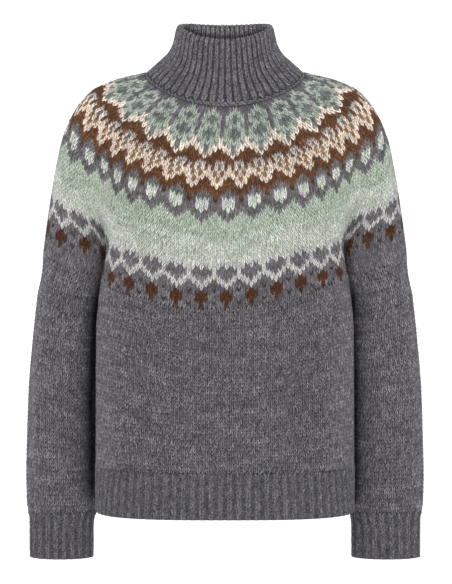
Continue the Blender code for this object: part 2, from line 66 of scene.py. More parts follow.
# The yoke from the neckband's seam (depth 0) to its foot (depth 1)
YOKE_COLUMNS = (
    "depth front_y front_z outer_x outer_y outer_z back_y back_z crease_z rear_crease_z"
).split()
YOKE = (
    (0.000, -78, -51, 108.0, 0, 0.0, 78, 5, -26, 8),
    (0.125, -88, -83, 146.0, 1, -7.3, 88, -26, -44, -11),
    (0.250, -98, -116, 182.0, 3, -22.0, 97, -59, -66, -34),
    (0.375, -107, -149, 206.7, 6, -50.8, 105, -93, -98, -66),
    (0.500, -114.5, -183, 222.0, 9, -86.0, 112, -127, -133, -104),
    (0.625, -120, -216, 230.3, 13, -124.0, 118, -161, -168, -146),
    (0.750, -124, -250, 236.7, 17, -162.4, 123, -195, -203, -188),
    (0.875, -126.5, -283, 242.3, 20, -200.5, 127, -229, -238, -231),
    (1.000, -128, -317, 247.5, 23, -239.0, 130, -262, -272, -272),
)

# Half sections of the body below the yoke
BODY_COLUMNS = "z half_width front_y back_y squareness".split()
BODY = (
    (-255, 161, -122, 129, 2.3),
    (-307, 169, -128, 130, 2.3),
    (-348, 173, -130, 129, 2.3),
    (-443, 174, -131, 127, 2.3),
    (-530, 174, -130, 125, 2.5),
    (-590, 173, -127, 121, 3.0),
)

# Sections of a sleeve below the yoke
SLEEVE_COLUMNS = "z centre_x centre_y half_width half_depth squareness".split()
SLEEVE = (
    (-235, 204.2, 23, 43.3, 63, 2.5),
    (-272, 211.5, 24, 38.5, 63, 2.4),
    (-307, 220.5, 25, 36.5, 62, 2.2),
    (-348, 223.0, 26, 39.0, 59, 2.1),
    (-443, 227.5, 26, 42.5, 53, 2.0),
    (-539, 227.5, 24, 44.5, 46, 2.0),
    (-580, 226.5, 22, 44.5, 41, 2.0),
    (-596, 225.0, 21, 44.0, 34, 2.0),
    (-604, 223.0, 20, 43.5, 30, 2.0),
    (-659, 222.8, 19, 43.2, 28, 2.0),
)
SIDES = {1: "left", -1: "right"}
GAPS = {1: -5.0, -1: 2.0}
CORNER_SQUARENESS = 2.5
CORNER_REACH = 13.0

# The neckband from its seam (rise 0) to the fold at its top (rise 1)
COLLAR_COLUMNS = "rise half_width wall".split()
COLLAR = (
    (0.00, 108.0, 4.5),
    (0.10, 99.0, 5.5),
    (0.22, 90.0, 7.0),
    (0.40, 77.5, 7.0),
    (0.62, 70.0, 7.0),
    (0.85, 66.5, 7.0),
    (0.96, 64.5, 5.0),
    (1.00, 61.5, 0.8),
)
COLLAR_DEPTH_TO_WIDTH = 0.512

# Soft folds: where round the piece (0 front, 0.5 side, 1 back), height range, width, depth. Their
# widths are measured along half a body's or a sleeve's girth
HALF_GIRTH = 480.0
HALF_SLEEVE = 150.0
FOLD_COLUMNS = "piece around top_z bottom_z width depth".split()
FOLDS = (
    ("body", 0.29, -300, -560, 26, 4.0),
    ("body", 0.21, -330, -540, 22, -2.5),
    ("body", -0.31, -310, -550, 24, 3.0),
    ("body", -0.22, -360, -560, 26, -2.0),
    ("body", 0.72, -300, -570, 30, 4.0),
    ("body", -0.66, -320, -560, 30, 3.5),
    ("sleeve", 0.22, -250, -590, 16, 3.0),
    ("sleeve", 0.36, -300, -580, 15, -2.5),
    ("sleeve", 0.74, -270, -580, 18, 3.0),
    ("sleeve", -0.70, -290, -570, 16, 2.5),
)


def table(names, rows):
    """Columns of a table by their names."""
    return {n: np.array(c) for n, c in zip(names, zip(*rows))}


def eased(x, xs, ys, level_ends=False):
    """A smooth curve through the points of a table, with no overshoot (monotone cubic)."""
    xs, ys = np.asarray(xs, float), np.asarray(ys, float)
    h, d = np.diff(xs), np.diff(ys) / np.diff(xs)
    m = np.zeros_like(ys)
    if not level_ends:
        m[0], m[-1] = d[0], d[-1]
    same = d[:-1] * d[1:] > 0
    a, b = 2 * h[1:] + h[:-1], h[1:] + 2 * h[:-1]
    safe = np.where(same, d[:-1], 1.0), np.where(same, d[1:], 1.0)
    m[1:-1] = np.where(same, (a + b) / (a / safe[0] + b / safe[1]), 0.0)
    x = np.clip(x, xs[0], xs[-1])
    k = np.clip(np.searchsorted(xs, x, side="right") - 1, 0, len(h) - 1)
    t = (x - xs[k]) / h[k]
    return (
        (1 + 2 * t) * (1 - t) ** 2 * ys[k]
        + t * (1 - t) ** 2 * h[k] * m[k]
        + t * t * (3 - 2 * t) * ys[k + 1]
        + t * t * (t - 1) * h[k] * m[k + 1]
    )


def smoothstep(x):
    """From 0 to 1 in a smooth step while x does, and level past both."""
    x = np.clip(x, 0, 1)
    return x * x * (3 - 2 * x)


def along(points, shares):
    """Points at the given shares of a polyline's length."""
    steps = np.linalg.norm(np.diff(points, axis=0), axis=1)
    s = np.concatenate([[0], np.cumsum(steps)])
    s /= s[-1]
    return np.stack([np.interp(shares, s, points[:, k]) for k in range(points.shape[1])], 1)


def length(points):
    """How long a polyline is."""
    return np.linalg.norm(np.diff(points, axis=0), axis=1).sum()


def plan_shares(points):
    """How far along a line each of its points is, as shares of its length seen from above."""
    steps = np.linalg.norm(np.diff(points[:, :2], axis=0), axis=1)
    return np.concatenate([[0], np.cumsum(steps)]) / steps.sum()


def bow(angle, power):
    """Sine and cosine of an angle, squared off for a superellipse."""
    s, c = np.sin(angle), np.cos(angle)
    return np.sign(s) * np.abs(s) ** (2 / power), np.sign(c) * np.abs(c) ** (2 / power)


yoke = table(YOKE_COLUMNS, YOKE)
body = table(BODY_COLUMNS, BODY)
sleeve = table(SLEEVE_COLUMNS, SLEEVE)
collar = table(COLLAR_COLUMNS, COLLAR)


NECK_DEPTH = -YOKE[0][1]
NECK_WIDTH = YOKE[0][3]


def at_depth(name, v):
    """A column of the yoke's table, read at a depth."""
    return float(eased(v, yoke["depth"], yoke[name]))


def oval_yoke_half(v, shares):
    """Half of a yoke ring above the arms: one oval from the front to the back, in plan."""
    a = np.linspace(0, np.pi, 361)
    ox, oy = at_depth("outer_x", v), at_depth("outer_y", v)
    y = np.where(
        a < np.pi / 2,
        oy * np.sin(a) ** 2 + at_depth("front_y", v) * np.cos(a),
        oy * np.sin(a) ** 2 - at_depth("back_y", v) * np.cos(a),
    )
    return along(np.stack([ox * np.sin(a), y], 1), shares)


def arm_section(v):
    """Centre of the sleeve's section at a depth of the yoke, and its crease angle."""
    centre_x = at_depth("outer_x", v) - ARM_HALF_WIDTH
    pinch = CREASE_PINCH * np.sin(np.pi * np.clip((v - 0.55) / 0.45, 0, 1))
    reach = np.clip((centre_x - CREASE_X + pinch) / ARM_HALF_WIDTH, 0.2, 0.97)
    return centre_x, at_depth("outer_y", v), np.pi - np.arccos(reach ** (ARM_SQUARENESS / 2))


def arm_arc(v, start, end, count=181):
    """Part of the sleeve's section, by its angle, counter-clockwise seen from above."""
    cx, cy, _ = arm_section(v)
    s, c = bow(np.linspace(start, end, count), ARM_SQUARENESS)
    return np.stack([cx + ARM_HALF_WIDTH * c, cy + ARM_HALF_DEPTH * s], 1)


def creased_yoke_half(v):
    """The three arcs of a yoke ring beside the arms: chest, round the sleeve, back."""
    angle = arm_section(v)[2]
    over_arm = arm_arc(v, -angle, angle)
    front, rear = over_arm[0], over_arm[-1]
    s, c = bow(np.linspace(0, np.pi / 2, 181), CHEST_SQUARENESS)
    fy, by = at_depth("front_y", v), at_depth("back_y", v)
    chest = np.stack([front[0] * s, front[1] + (fy - front[1]) * c], 1)
    back = np.stack([rear[0] * c, rear[1] + (by - rear[1]) * s], 1)
    return chest, over_arm, back


ARCS = [length(a) for a in creased_yoke_half(1.0)]
CREASE_AT = ARCS[0] / sum(ARCS)
REAR_CREASE_AT = (ARCS[0] + ARCS[1]) / sum(ARCS)
SIDE_AT = 0.5 * (CREASE_AT + REAR_CREASE_AT)


def neck_drop(shares):
    """Height of the neckband's seam: it falls in front and climbs a little behind."""
    t = -oval_yoke_half(0.0, np.asarray(shares))[:, 1] / NECK_DEPTH
    return -23.0 * t * t - 28.0 * t


def ring_height(v, shares):
    """Height round a ring of the yoke, level for a little way at both creases."""
    flat = 0.022 * v
    stations = (0, CREASE_AT - flat, CREASE_AT + flat + 0.001, SIDE_AT)
    stations += (REAR_CREASE_AT - flat - 0.001, REAR_CREASE_AT + flat, 1)
    names = "front_z crease_z crease_z outer_z rear_crease_z rear_crease_z back_z".split()
    return eased(shares, stations, [at_depth(n, v) for n in names], level_ends=True)


def yoke_half(v, shares):
    """Half a ring of the yoke in space: an oval above that turns into chest, sleeve and
    back arcs below, with the fold between them rounded by a short running mean."""
    fine = np.linspace(0, 1, 721)
    oval = oval_yoke_half(v, fine)
    ends = (0, CREASE_AT, REAR_CREASE_AT, 1)
    creased = np.empty_like(oval)
    for k, arc in enumerate(creased_yoke_half(v)):
        inside = (fine >= ends[k]) & (fine <= ends[k + 1])
        creased[inside] = along(arc, (fine[inside] - ends[k]) / (ends[k + 1] - ends[k]))
    plan = oval + (creased - oval) * smoothstep((v - 0.40) / 0.55)
    reach = int(round((VALLEY_EASE + FOLD_FADE * (1 - v)) / (sum(ARCS) / 720)))
    weights = np.exp(-0.5 * (np.arange(-3 * reach, 3 * reach + 1) / reach) ** 2)
    weights /= weights.sum()
    before, after = plan[3 * reach : 0 : -1] * (-1, 1), plan[-2 : -3 * reach - 2 : -1] * (-1, 1)
    padded = np.concatenate([before, plan, after])
    plan = np.stack([np.convolve(padded[:, k], weights, "valid") for k in (0, 1)], 1)
    plan[[0, -1], 0] = 0
    z = ring_height(v, shares)
    if v < 0.5:
        z = z + (neck_drop(shares) - ring_height(0.0, shares)) * (1 - 2 * v) ** 2
    return np.column_stack([np.interp(shares, fine, plan[:, k]) for k in (0, 1)] + [z])


def half_way(around):
    """Share of the way from the front's middle to the back's, on either side."""
    return 1 - np.abs(1 - 2 * around)


def signed_share(around):
    """Share of the way from the front to the back, less than zero on the wearer's right."""
    return np.where(around <= 0.5, 2 * around, 2 * around - 2)


def yoke_ring(v, around):
    """A whole ring of the yoke, around 0 to 1 counter-clockwise from the front's middle."""
    around = np.asarray(around) % 1.0
    ring = yoke_half(v, half_way(around))
    ring[:, 0] *= np.where(around <= 0.5, 1, -1)
    return ring


def read_grid(grid, row, column):
    """A grid's values at fractions of rows and columns, mixed from the four nearest points."""
    r = np.clip(np.floor(row).astype(int), 0, grid.shape[0] - 2)
    c = np.clip(np.floor(column).astype(int), 0, grid.shape[1] - 2)
    fr, fc = (row - r)[..., None], (column - c)[..., None]
    top = grid[r, c] * (1 - fc) + grid[r, c + 1] * fc
    low = grid[r + 1, c] * (1 - fc) + grid[r + 1, c + 1] * fc
    return top * (1 - fr) + low * fr


def folds(piece, around, z, girth):
    """How far the soft folds push the cloth out, at shares round a piece and heights."""
    out = np.zeros(np.broadcast(around, z).shape)
    for f in (dict(zip(FOLD_COLUMNS, row)) for row in FOLDS):
        if f["piece"] == piece:
            gap = (around - f["around"] + 1) % 2 - 1
            span = np.clip((f["top_z"] - z) / (f["top_z"] - f["bottom_z"]), 0, 1)
            across = np.exp(-((gap * girth / f["width"]) ** 2))
            out = out + f["depth"] * np.sin(np.pi * span) ** 2 * across
    return out


class Surface:
    """The outside of a cloth: a fine closed grid of points, rows from the top to the bottom
    and columns counter-clockwise seen from above, read at any row and any place around."""

    def __init__(self, grid, lift=None):
        grid = np.asarray(grid, float)
        self.rows, self.columns = grid.shape[0] - 1, grid.shape[1]
        if lift is not None:
            grid = grid + self.outward(grid) * lift[..., None]
        self.grid = np.concatenate([grid, grid[:, :1]], 1)
        normal = self.outward(grid)
        self.normal = np.concatenate([normal, normal[:, :1]], 1)

    @staticmethod
    def outward(grid):
        """Outward directions: the step down the rows crossed with the step around."""
        du = np.roll(grid, -1, 1) - np.roll(grid, 1, 1)
        n = np.cross(np.gradient(grid, axis=0), du)
        return n / np.linalg.norm(n, axis=2, keepdims=True)

    def point(self, row, around, lift=0.0):
        """Points at rows 0 to 1 and places around 0 to 1, lifted off the cloth in mm. Past
        the first or last row the cloth runs on straight."""
        r, c = row * self.rows, (around % 1.0) * self.columns
        n = read_grid(self.normal, np.clip(r, 0, self.rows), c)
        n = n / np.linalg.norm(n, axis=-1, keepdims=True)
        return read_grid(self.grid, r, c) + n * np.asarray(lift)[..., None]


def yoke_surface():
    """The yoke from the neckband's seam to its foot: rings at even depths."""
    around = np.arange(720) / 720
    return Surface(np.stack([yoke_ring(v, around) for v in np.linspace(0, 1, 123)]))


def underarm(front, rear, count=61):
    """The graft under the arm, from the front crease to the rear one, without its ends."""
    angle = arm_section(1.0)[2]
    t = np.linspace(0, 1, count)[:, None]
    arc = along(arm_arc(1.0, -angle, angle - 2 * np.pi), t[:, 0])
    arc = arc + (front[:2] - arc[0]) * (1 - t) + (rear[:2] - arc[-1]) * t
    return np.column_stack([arc, front[2] + (rear[2] - front[2]) * t[:, 0]])[1:-1]


CHEST_FOOT = yoke_half(1.0, np.linspace(0, CREASE_AT, 121))
ARM_FOOT = yoke_half(1.0, np.linspace(CREASE_AT, REAR_CREASE_AT, 181))
BACK_FOOT = yoke_half(1.0, np.linspace(REAR_CREASE_AT, 1, 121))
UNDERARM = underarm(CHEST_FOOT[-1], BACK_FOOT[0])
BODY_TOP = np.concatenate([CHEST_FOOT, UNDERARM, BACK_FOOT])
BODY_SHARES = plan_shares(BODY_TOP)
SIDE_SEAM = BODY_SHARES[len(CHEST_FOOT) + len(UNDERARM) // 2] / 2


PLAN_STEP = 2.0
BODY_PLAN_TOP = -240
SLEEVE_PLAN_TOP = -230


def body_plan():
    """Half sections of the body at a height every 2 mm, from the front to the back."""
    sections = []
    a = np.linspace(0, np.pi, 361)
    for z in np.arange(BODY_PLAN_TOP, HEM_BOTTOM_Z - 11, -PLAN_STEP):
        get = {n: float(eased(-z, -body["z"], body[n])) for n in BODY_COLUMNS}
        s, c = bow(a, get["squareness"])
        y = np.where(a < np.pi / 2, get["front_y"] * c, -get["back_y"] * c)
        sections.append(along(np.stack([get["half_width"] * s, y], 1), np.linspace(0, 1, 361)))
    return np.stack(sections)


BODY_PLAN = body_plan()


def body_grid(row_z, around, ease):
    """Body points: the plain section at each height, plus what is left of the yoke's own
    outline, which ease fades out on the way down."""
    share = half_way(around)
    side = np.where(around <= 0.5, 1, -1)
    column = np.broadcast_to(share * 360, row_z.shape)
    plan = read_grid(BODY_PLAN, (BODY_PLAN_TOP - row_z) / PLAN_STEP, column)
    top = np.stack([np.interp(share, BODY_SHARES, BODY_TOP[:, k]) for k in range(3)], 1)
    row = (BODY_PLAN_TOP - top[:, 2]) / PLAN_STEP
    start = top[:, :2] - read_grid(BODY_PLAN, row, share * 360)
    plan = plan + start * ease[..., None]
    return np.stack([plan[..., 0] * side, plan[..., 1], row_z], -1)


def body_surface():
    """The body from the yoke's foot to the hem: at each place around, rows at even heights
    between the two, with soft folds."""
    around = np.arange(704) / 704
    share = half_way(around)
    top_z = np.interp(share, BODY_SHARES, BODY_TOP[:, 2]) - SEAM
    w = np.linspace(0, 1, 101)[:, None]
    z = top_z + (HEM_TOP_Z - top_z) * w
    grid = body_grid(z, around, np.broadcast_to((1 - w) ** 2.6, z.shape))
    lift = folds("body", signed_share(around), z, HALF_GIRTH)
    return Surface(grid, lift * np.clip(w * 20, 0, 1))


def crests(rib):
    """From 0 in the furrows, at whole ribs, to 1 on the crests half way between them."""
    return 0.5 - 0.5 * np.cos(2 * np.pi * rib)


def ribs(rib):
    """Height of one by one ribs at places counted in ribs."""
    return RIB_HEIGHT * crests(rib) ** 0.75


HEM_RIBS = 90
HEM_SIDE_RIB = 23


def hem_around(rib):
    """Where a place counted in ribs lies round the hem: the front has 46 ribs, the back 44."""
    places = (0, HEM_SIDE_RIB, HEM_RIBS - HEM_SIDE_RIB, HEM_RIBS)
    return np.interp(rib, places, (0, SIDE_SEAM, 1 - SIDE_SEAM, 1))


def hem_surface():
    """The hem: the body's sections on down, pushed out by the ribs."""
    rib = np.arange(1080) / 12
    around = hem_around(rib)
    z = np.linspace(HEM_TOP_Z - SEAM, HEM_BOTTOM_Z, 31)[:, None] + 0 * around
    grid = body_grid(z, around, np.zeros_like(z))
    return Surface(grid, folds("body", signed_share(around), z, HALF_GIRTH) + ribs(rib))


def inner_corner(z, angles):
    """How much of the sleeve's corner stands at each angle of its oval: only at the inner back,
    where the sleeve hangs beside the body, and neither at the armhole nor the cuff's edge."""
    span = smoothstep((-z - 290) / 60) * (1 - smoothstep((-z - 584) / 40))
    quarter = (angles > np.pi / 2) & (angles < np.pi)
    return span * np.where(quarter, np.sin(2 * angles) ** 2, 0)


def sleeve_plan(side):
    """Ovals of a sleeve at a height every 2 mm, from its outer edge round by the back."""
    sections = []
    angles = np.linspace(0, 2 * np.pi, 721)
    for z in np.arange(SLEEVE_PLAN_TOP, CUFF_BOTTOM_Z - 6, -PLAN_STEP):
        g = {n: float(eased(-z, -sleeve["z"], sleeve[n])) for n in SLEEVE_COLUMNS}
        gap = GAPS[side] * smoothstep((-z - 290) / 60)
        corner = inner_corner(z, angles)
        s, c = bow(angles, g["squareness"] + CORNER_SQUARENESS * corner)
        x = g["centre_x"] + gap / 2 + (g["half_width"] - gap / 2) * c - CORNER_REACH * corner
        oval = np.stack([x, g["centre_y"] + g["half_depth"] * s], 1)
        sections.append(along(oval, np.linspace(0, 1, 361)))
    return np.stack(sections)


SLEEVE_PLANS = {side: sleeve_plan(side) for side in SIDES}


def sleeve_points(z, around, side):
    """A sleeve's oval at heights and places around."""
    row = (SLEEVE_PLAN_TOP - z) / PLAN_STEP
    return read_grid(SLEEVE_PLANS[side], row, np.broadcast_to(around * 360, row.shape))


def on_side(surface, side):
    """A surface of the wearer's left, or the same one on the right, still counter-clockwise."""
    if side > 0:
        return surface
    return Surface(np.roll((surface.grid[:, :-1] * (-1, 1, 1))[:, ::-1], 1, 1))


def sleeve_surface(side):
    """A sleeve from the armhole to the cuff: its ovals, shifted to the armhole's edge by a
    share that fades with the cube of the way left, with soft folds."""
    start = np.concatenate([ARM_FOOT, UNDERARM[::-1]])
    start = np.roll(start, -(len(ARM_FOOT) // 2), 0)
    around = np.arange(360) / 360
    loop = np.vstack([start, start[:1]])
    top = np.stack([np.interp(around, plan_shares(loop), loop[:, k]) for k in range(3)], 1)
    top_z = top[:, 2] - SEAM
    w = np.linspace(0, 1, 121)[:, None]
    z = top_z + (CUFF_TOP_Z - top_z) * w
    plan = sleeve_points(z, around, side)
    shift = top[:, :2] - sleeve_points(top_z, around, side)
    plan = plan + shift * ((1 - w) ** 3)[..., None]
    grid = np.concatenate([plan, z[..., None]], -1)
    signed = ((around - 0.75) * 2 + 1) % 2 - 1
    lift = folds("sleeve", signed, z, HALF_SLEEVE) * np.clip(w * 20, 0, 1)
    return on_side(Surface(grid, lift * np.clip((1 - w) * 30, 0, 1)), side)


CUFF_RIBS = 20


def cuff_surface(side):
    """A cuff: the sleeve's ovals on down, pushed out by the ribs."""
    around = np.arange(240) / 240
    z = np.linspace(CUFF_TOP_Z - SEAM, CUFF_BOTTOM_Z, 32)[:, None] + 0 * around
    grid = np.concatenate([sleeve_points(z, around, side), z[..., None]], -1)
    return on_side(Surface(grid, ribs(around * CUFF_RIBS)), side)


COLLAR_RIBS = 50


def collar_surface():
    """The neckband's outside from its seam up to the fold and its inside down again. Rows run
    from the seam inside, over the fold, to the seam outside."""
    base = yoke_ring(0.0, np.arange(720) / 720)
    loop = np.vstack([base, base[:1]])
    around = np.arange(600) / 600
    p = along(loop, around)
    t = -p[:, 1] / NECK_DEPTH
    top_z = 66 - 18 * t - 9 * t * t
    rises = 1 - (1 - np.linspace(0, 1, 61)) ** 1.5
    outside, walls = [], []
    for rise in rises:
        half_width = float(eased(rise, collar["rise"], collar["half_width"]))
        wide = half_width / NECK_WIDTH
        deep = (NECK_DEPTH + (half_width - NECK_WIDTH) * COLLAR_DEPTH_TO_WIDTH) / NECK_DEPTH
        z = p[:, 2] + (top_z - p[:, 2]) * rise
        outside.append(np.column_stack([p[:, 0] * wide, p[:, 1] * deep, z]))
        walls.append(float(eased(rise, collar["rise"], collar["wall"])))
    outside = np.stack(outside)
    inside = outside + Surface.outward(outside) * np.array(walls)[:, None, None]
    profile = np.concatenate([inside, outside[::-1]])
    rows = np.linspace(0, 1, 85)
    grid = np.stack([along(profile[:, c], rows) for c in range(len(around))], 1)
    fade = np.clip(np.minimum(rows, 1 - rows) * 14, 0, 1)[:, None]
    lift = ribs(around * COLLAR_RIBS) * (0.35 + 0.65 * fade)
    return Surface(grid, lift)


def linear(red, green, blue):
    """A colour as seen on a screen, 0 to 255, as the light that it stands for."""
    c = np.array([red, green, blue]) / 255
    return np.where(c <= 0.04045, c / 12.92, ((c + 0.055) / 1.055) ** 2.4)


YARNS = {
    "g": linear(102, 100, 105),  # grey heather
    "d": linear(108, 114, 110),  # grey with a mint fibre
    "u": linear(165, 174, 163),  # mint with a grey fibre
    "m": linear(171, 182, 168),  # mint
    "p": linear(196, 199, 191),  # mint and white twisted
    "t": linear(194, 201, 190),  # white with a mint fibre
    "w": linear(208, 208, 203),  # white
    "h": linear(190, 190, 187),  # white with a grey fibre
    "e": linear(226, 213, 200),  # warm white
    "c": linear(224, 208, 193),  # cream
    "b": linear(94, 62, 40),  # brown
    "o": linear(128, 100, 70),  # brown and grey twisted
    "f": linear(172, 168, 164),  # grey and white twisted
    "B": linear(74, 44, 24),  # darker brown
    "k": linear(58, 46, 42),  # brown and grey, dark
}
GREY = YARNS["g"]
DARK = 0.2

# Each line is a row of a repeat of six stitches: the middle stitch, then one, two and three
# stitches to either side of it.
UPPER_CHART = """
gggg uggg uugg duug ddug duug uudg duug ddud ddud duue uude duee
deeb debb ebbb bbbb
""".split()
LOWER_CHART = """
ffbb gcbf gcbc cocc cocc occb ocbb ccbb cbbb bbbg bbgg bggg Bgwm
ggwt ggwt gggt mggg mmgg mmmg mmmm mmmm mmmm mmmm pppp pppp pppp
pppp pppp pppp pppp pppp hhhh hhgh hggg hggg hhgg ghhg gghh gggh
kggB ggBB ggBB ggBB kggB gggB
""".split()
REPEAT = 6
UPPER_REPEATS = 24
LOWER_REPEATS = 40
YOKE_ROWS = len(UPPER_CHART) + len(LOWER_CHART)
FOOT_ROWS = 8
LINE_STEPS = 720

# Width of a stitch against its row's mean, by its distance round from the front's middle: the
# knitting is stretched over the chest and the sleeves, and eased in between them
SPREAD_ROWS = (0, 15, 24, 32, 42, 54)
SPREAD_COLUMNS = "place top zigzag cream tulips mint hearts".split()
SPREAD = (
    (0.000, 1.08, 0.96, 1.25, 1.25, 1.08, 0.92),
    (0.060, 1.08, 0.95, 1.24, 1.24, 1.08, 0.96),
    (0.090, 1.10, 0.87, 1.03, 1.00, 1.00, 1.00),
    (0.120, 1.10, 1.05, 0.95, 0.82, 0.95, 1.08),
    (0.145, 1.12, 1.35, 1.02, 0.82, 0.94, 1.08),
    (0.180, 1.15, 1.42, 1.25, 1.32, 1.05, 0.84),
    (0.210, 1.12, 1.38, 1.40, 1.40, 1.14, 0.96),
    (0.250, 1.02, 1.25, 1.22, 1.25, 1.10, 1.02),
    (0.310, 0.92, 0.88, 0.86, 0.88, 0.98, 1.04),
    (0.500, 0.92, 0.88, 0.86, 0.88, 0.98, 1.04),
)

# How far the rows lie below even ones, in thousandths of the yoke's depth: around from the back
# (-500 thousandths) by the wearer's right over the front (0) and left, at five depths
SAG_DEPTHS = (0.0, 0.268, 0.429, 0.556, 0.909, 1.004)
SAG_COLUMNS = "around zigzag cream tulips hearts foot".split()
SAG = (
    (-500, 0, 0, 0, 0, 0),
    (-420, 0, 0, 0, 0, 0),
    (-320, -35, -45, -50, -50, -50),
    (-215, -42, -52, -56, -60, -70),
    (-182, -25, -43, -53, -70, -84),
    (-165, -6, -27, -36, -25, -45),
    (-146, 15, 18, -8, 45, 20),
    (-130, 34, 33, 28, 66, 42),
    (-105, 55, 46, 48, 54, 48),
    (-70, 54, 35, 36, 38, 36),
    (-40, 30, 22, 26, 28, 25),
    (0, 12, 1, 6, 6, -2),
    (35, 24, 6, 6, 4, -4),
    (70, 50, 30, 30, 10, 4),
    (100, 58, 48, 47, 27, 12),
    (125, 52, 40, 30, 40, 20),
    (146, 25, 20, 5, 45, 20),
    (165, 0, 0, -40, -35, -50),
    (182, -24, -30, -46, -95, -108),
    (215, -30, -25, -36, -75, -95),
    (320, -35, -45, -50, -50, -50),
    (420, 0, 0, 0, 0, 0),
    (500, 0, 0, 0, 0, 0),
)
BODY_STITCHES = 176
BODY_ROWS = 50
SLEEVE_STITCHES = 58
SLEEVE_ROWS = 62

rng = np.random.default_rng(41)


def heather(count, amount=0.10):
    """Random light and dark of yarns spun from many fibres, one value for each stitch."""
    return np.clip(1 + amount * rng.standard_normal(count), 0.7, 1.45)


def is_dark(yarns):
    """Which yarns are grey or brown."""
    return yarns.mean(-1) < DARK


def strand(rows, count):
    """Light and dark of the yarn along rows of stitches: neighbours in a row are alike."""
    tone = heather(rows * count, 0.30).reshape(rows, count)
    return sum(np.roll(tone, k, 1) for k in range(5)) / 5


def spread_places(count, row, offset):
    """Places around and widths of a row's stitches: the whole row's stitches share the ring
    as the table of widths says."""
    spread = table(SPREAD_COLUMNS, SPREAD)
    s = np.linspace(-0.5, 0.5, 1441)
    wide = [eased(np.abs(s), spread["place"], spread[n]) for n in SPREAD_COLUMNS[1:]]
    station = np.interp(row, SPREAD_ROWS, range(len(SPREAD_ROWS)))
    first = min(int(station), len(wide) - 2)
    density = 1 / (wide[first] + (wide[first + 1] - wide[first]) * (station - first))
    run = np.concatenate([[0], np.cumsum(0.5 * (density[1:] + density[:-1]))])
    run = (run - run[720]) / run[-1]
    edges = (np.arange(2 * count + 1) / 2 - 0.5 + offset) / count
    place = np.interp((edges - run[0]) % 1 + run[0], run, s)
    return place[1::2] % 1.0, (place[2::2] - place[:-1:2]) % 1.0


def charted(chart_row, count, shift=0):
    """The letters of a whole row: each repeat is the same to both sides of its middle."""
    step = (np.arange(count) + shift) % REPEAT
    return [chart_row[k] for k in np.minimum(step, REPEAT - step)]


def upper_row(chart_row, number):
    """Places around, widths and yarns of one row of the diamonds. Their columns lean a
    little to one side on the way down."""
    count = UPPER_REPEATS * REPEAT
    share = number / (len(UPPER_CHART) - 1)
    around, width = spread_places(count, number, 3.0 - 1.4 * share)
    return around, width, np.array([YARNS[k] for k in charted(chart_row, count)])


def lower_row(chart_row, number):
    """Places around, widths and yarns of one row of the zigzags, tulips, hearts and crosses.
    Their columns lean a little to one side too, less and less on the way down."""
    count = LOWER_REPEATS * REPEAT
    offset = 0.28 + 1.05 * math.exp(-(number - 2) / 15)
    around, width = spread_places(count, number + len(UPPER_CHART), offset)
    letters = charted(chart_row, count, REPEAT // 2)
    yarns = np.array([YARNS[k] for k in letters])
    j = np.arange(count)
    clump = np.sin(j * 0.55 + number * 0.9) + np.sin(j * 0.23 - number * 0.5 + 1.3)
    share = 0.66 - (number - 23) * 0.07 + 0.26 * clump + 0.6 * (rng.random(count) - 0.5)
    mint = np.clip(share, 0, 1)[:, None]
    mix = YARNS["m"] * mint + YARNS["p"] * (1 - mint)
    yarns = np.where(np.array(letters)[:, None] == "p", mix, yarns)
    brighter = (1.13, 1.10, 1.04) if number < 32 else (1.08, 1.06, 1.05)
    return around, width, yarns * np.where(is_dark(yarns)[:, None], brighter, 1.02)


def row_lines(surface):
    """Depth on the yoke of the edges of its knitting rows, at 721 places from the back over
    the front's middle to the back. Rows are evenly high down the front's middle. Beside it
    they sag, and on the sleeves they stand higher."""
    depth = np.linspace(0, 1, 249)
    z = surface.point(depth, 0 * depth)[:, 2]
    even = np.interp(np.linspace(0, 1, YOKE_ROWS + 1), (z[0] - z) / (z[0] - z[-1]), depth)
    beyond = 1 + (1 - even[-2]) * np.arange(1, FOOT_ROWS + 1)
    even = np.concatenate([even, beyond])
    places = np.arange(LINE_STEPS + 1) / LINE_STEPS - 0.5
    sag = {name: column / 1000 for name, column in table(SAG_COLUMNS, SAG).items()}
    sags = [0 * places] + [eased(places, sag["around"], sag[n]) for n in SAG_COLUMNS[1:]]
    amount = np.stack(sags)
    return np.stack([even + np.interp(even, SAG_DEPTHS, column) for column in amount.T], 1)


def line_at(lines, edge, place):
    """Depth on the yoke of a row's edge at places round it. Half a number is a row's middle."""
    column = (place + 0.5) % 1 * LINE_STEPS
    return read_grid(lines[..., None], np.full(column.shape, float(edge)), column)[..., 0]


def foot_limit(lines, place):
    """How deep the pattern runs: to the yoke's foot, or past it where its last row sags."""
    return np.maximum(line_at(lines, YOKE_ROWS, place), 1.0)


def yoke_stitches(lines):
    """Rows, places, heights, widths and colours of every stitch of the yoke, the slope of
    its row there and the row's number."""
    out = []
    for n in range(YOKE_ROWS + FOOT_ROWS):
        if n < len(UPPER_CHART):
            around, width, yarns = upper_row(UPPER_CHART[n], n)
        else:
            number = n - len(UPPER_CHART)
            chart_row = LOWER_CHART[number] if number < len(LOWER_CHART) else "gggg"
            around, width, yarns = lower_row(chart_row, number)
        tone = strand(1, len(around))[0] ** np.where(is_dark(yarns), 1.0, 0.4)
        yarns = yarns * tone[:, None]
        v = line_at(lines, n + 0.5, around)
        tall = line_at(lines, n + 1, around) - line_at(lines, n, around)
        ahead, behind = (line_at(lines, n + 0.5, around + d) for d in (0.003, -0.003))
        slope = (ahead - behind) / 0.006
        keep = (v < foot_limit(lines, around)) & (n > 0)
        numbers = np.full(len(around), n)
        out.append([a[keep] for a in (v, around, tall, width, yarns, slope, numbers)])
    return [np.concatenate(part) for part in zip(*out)]


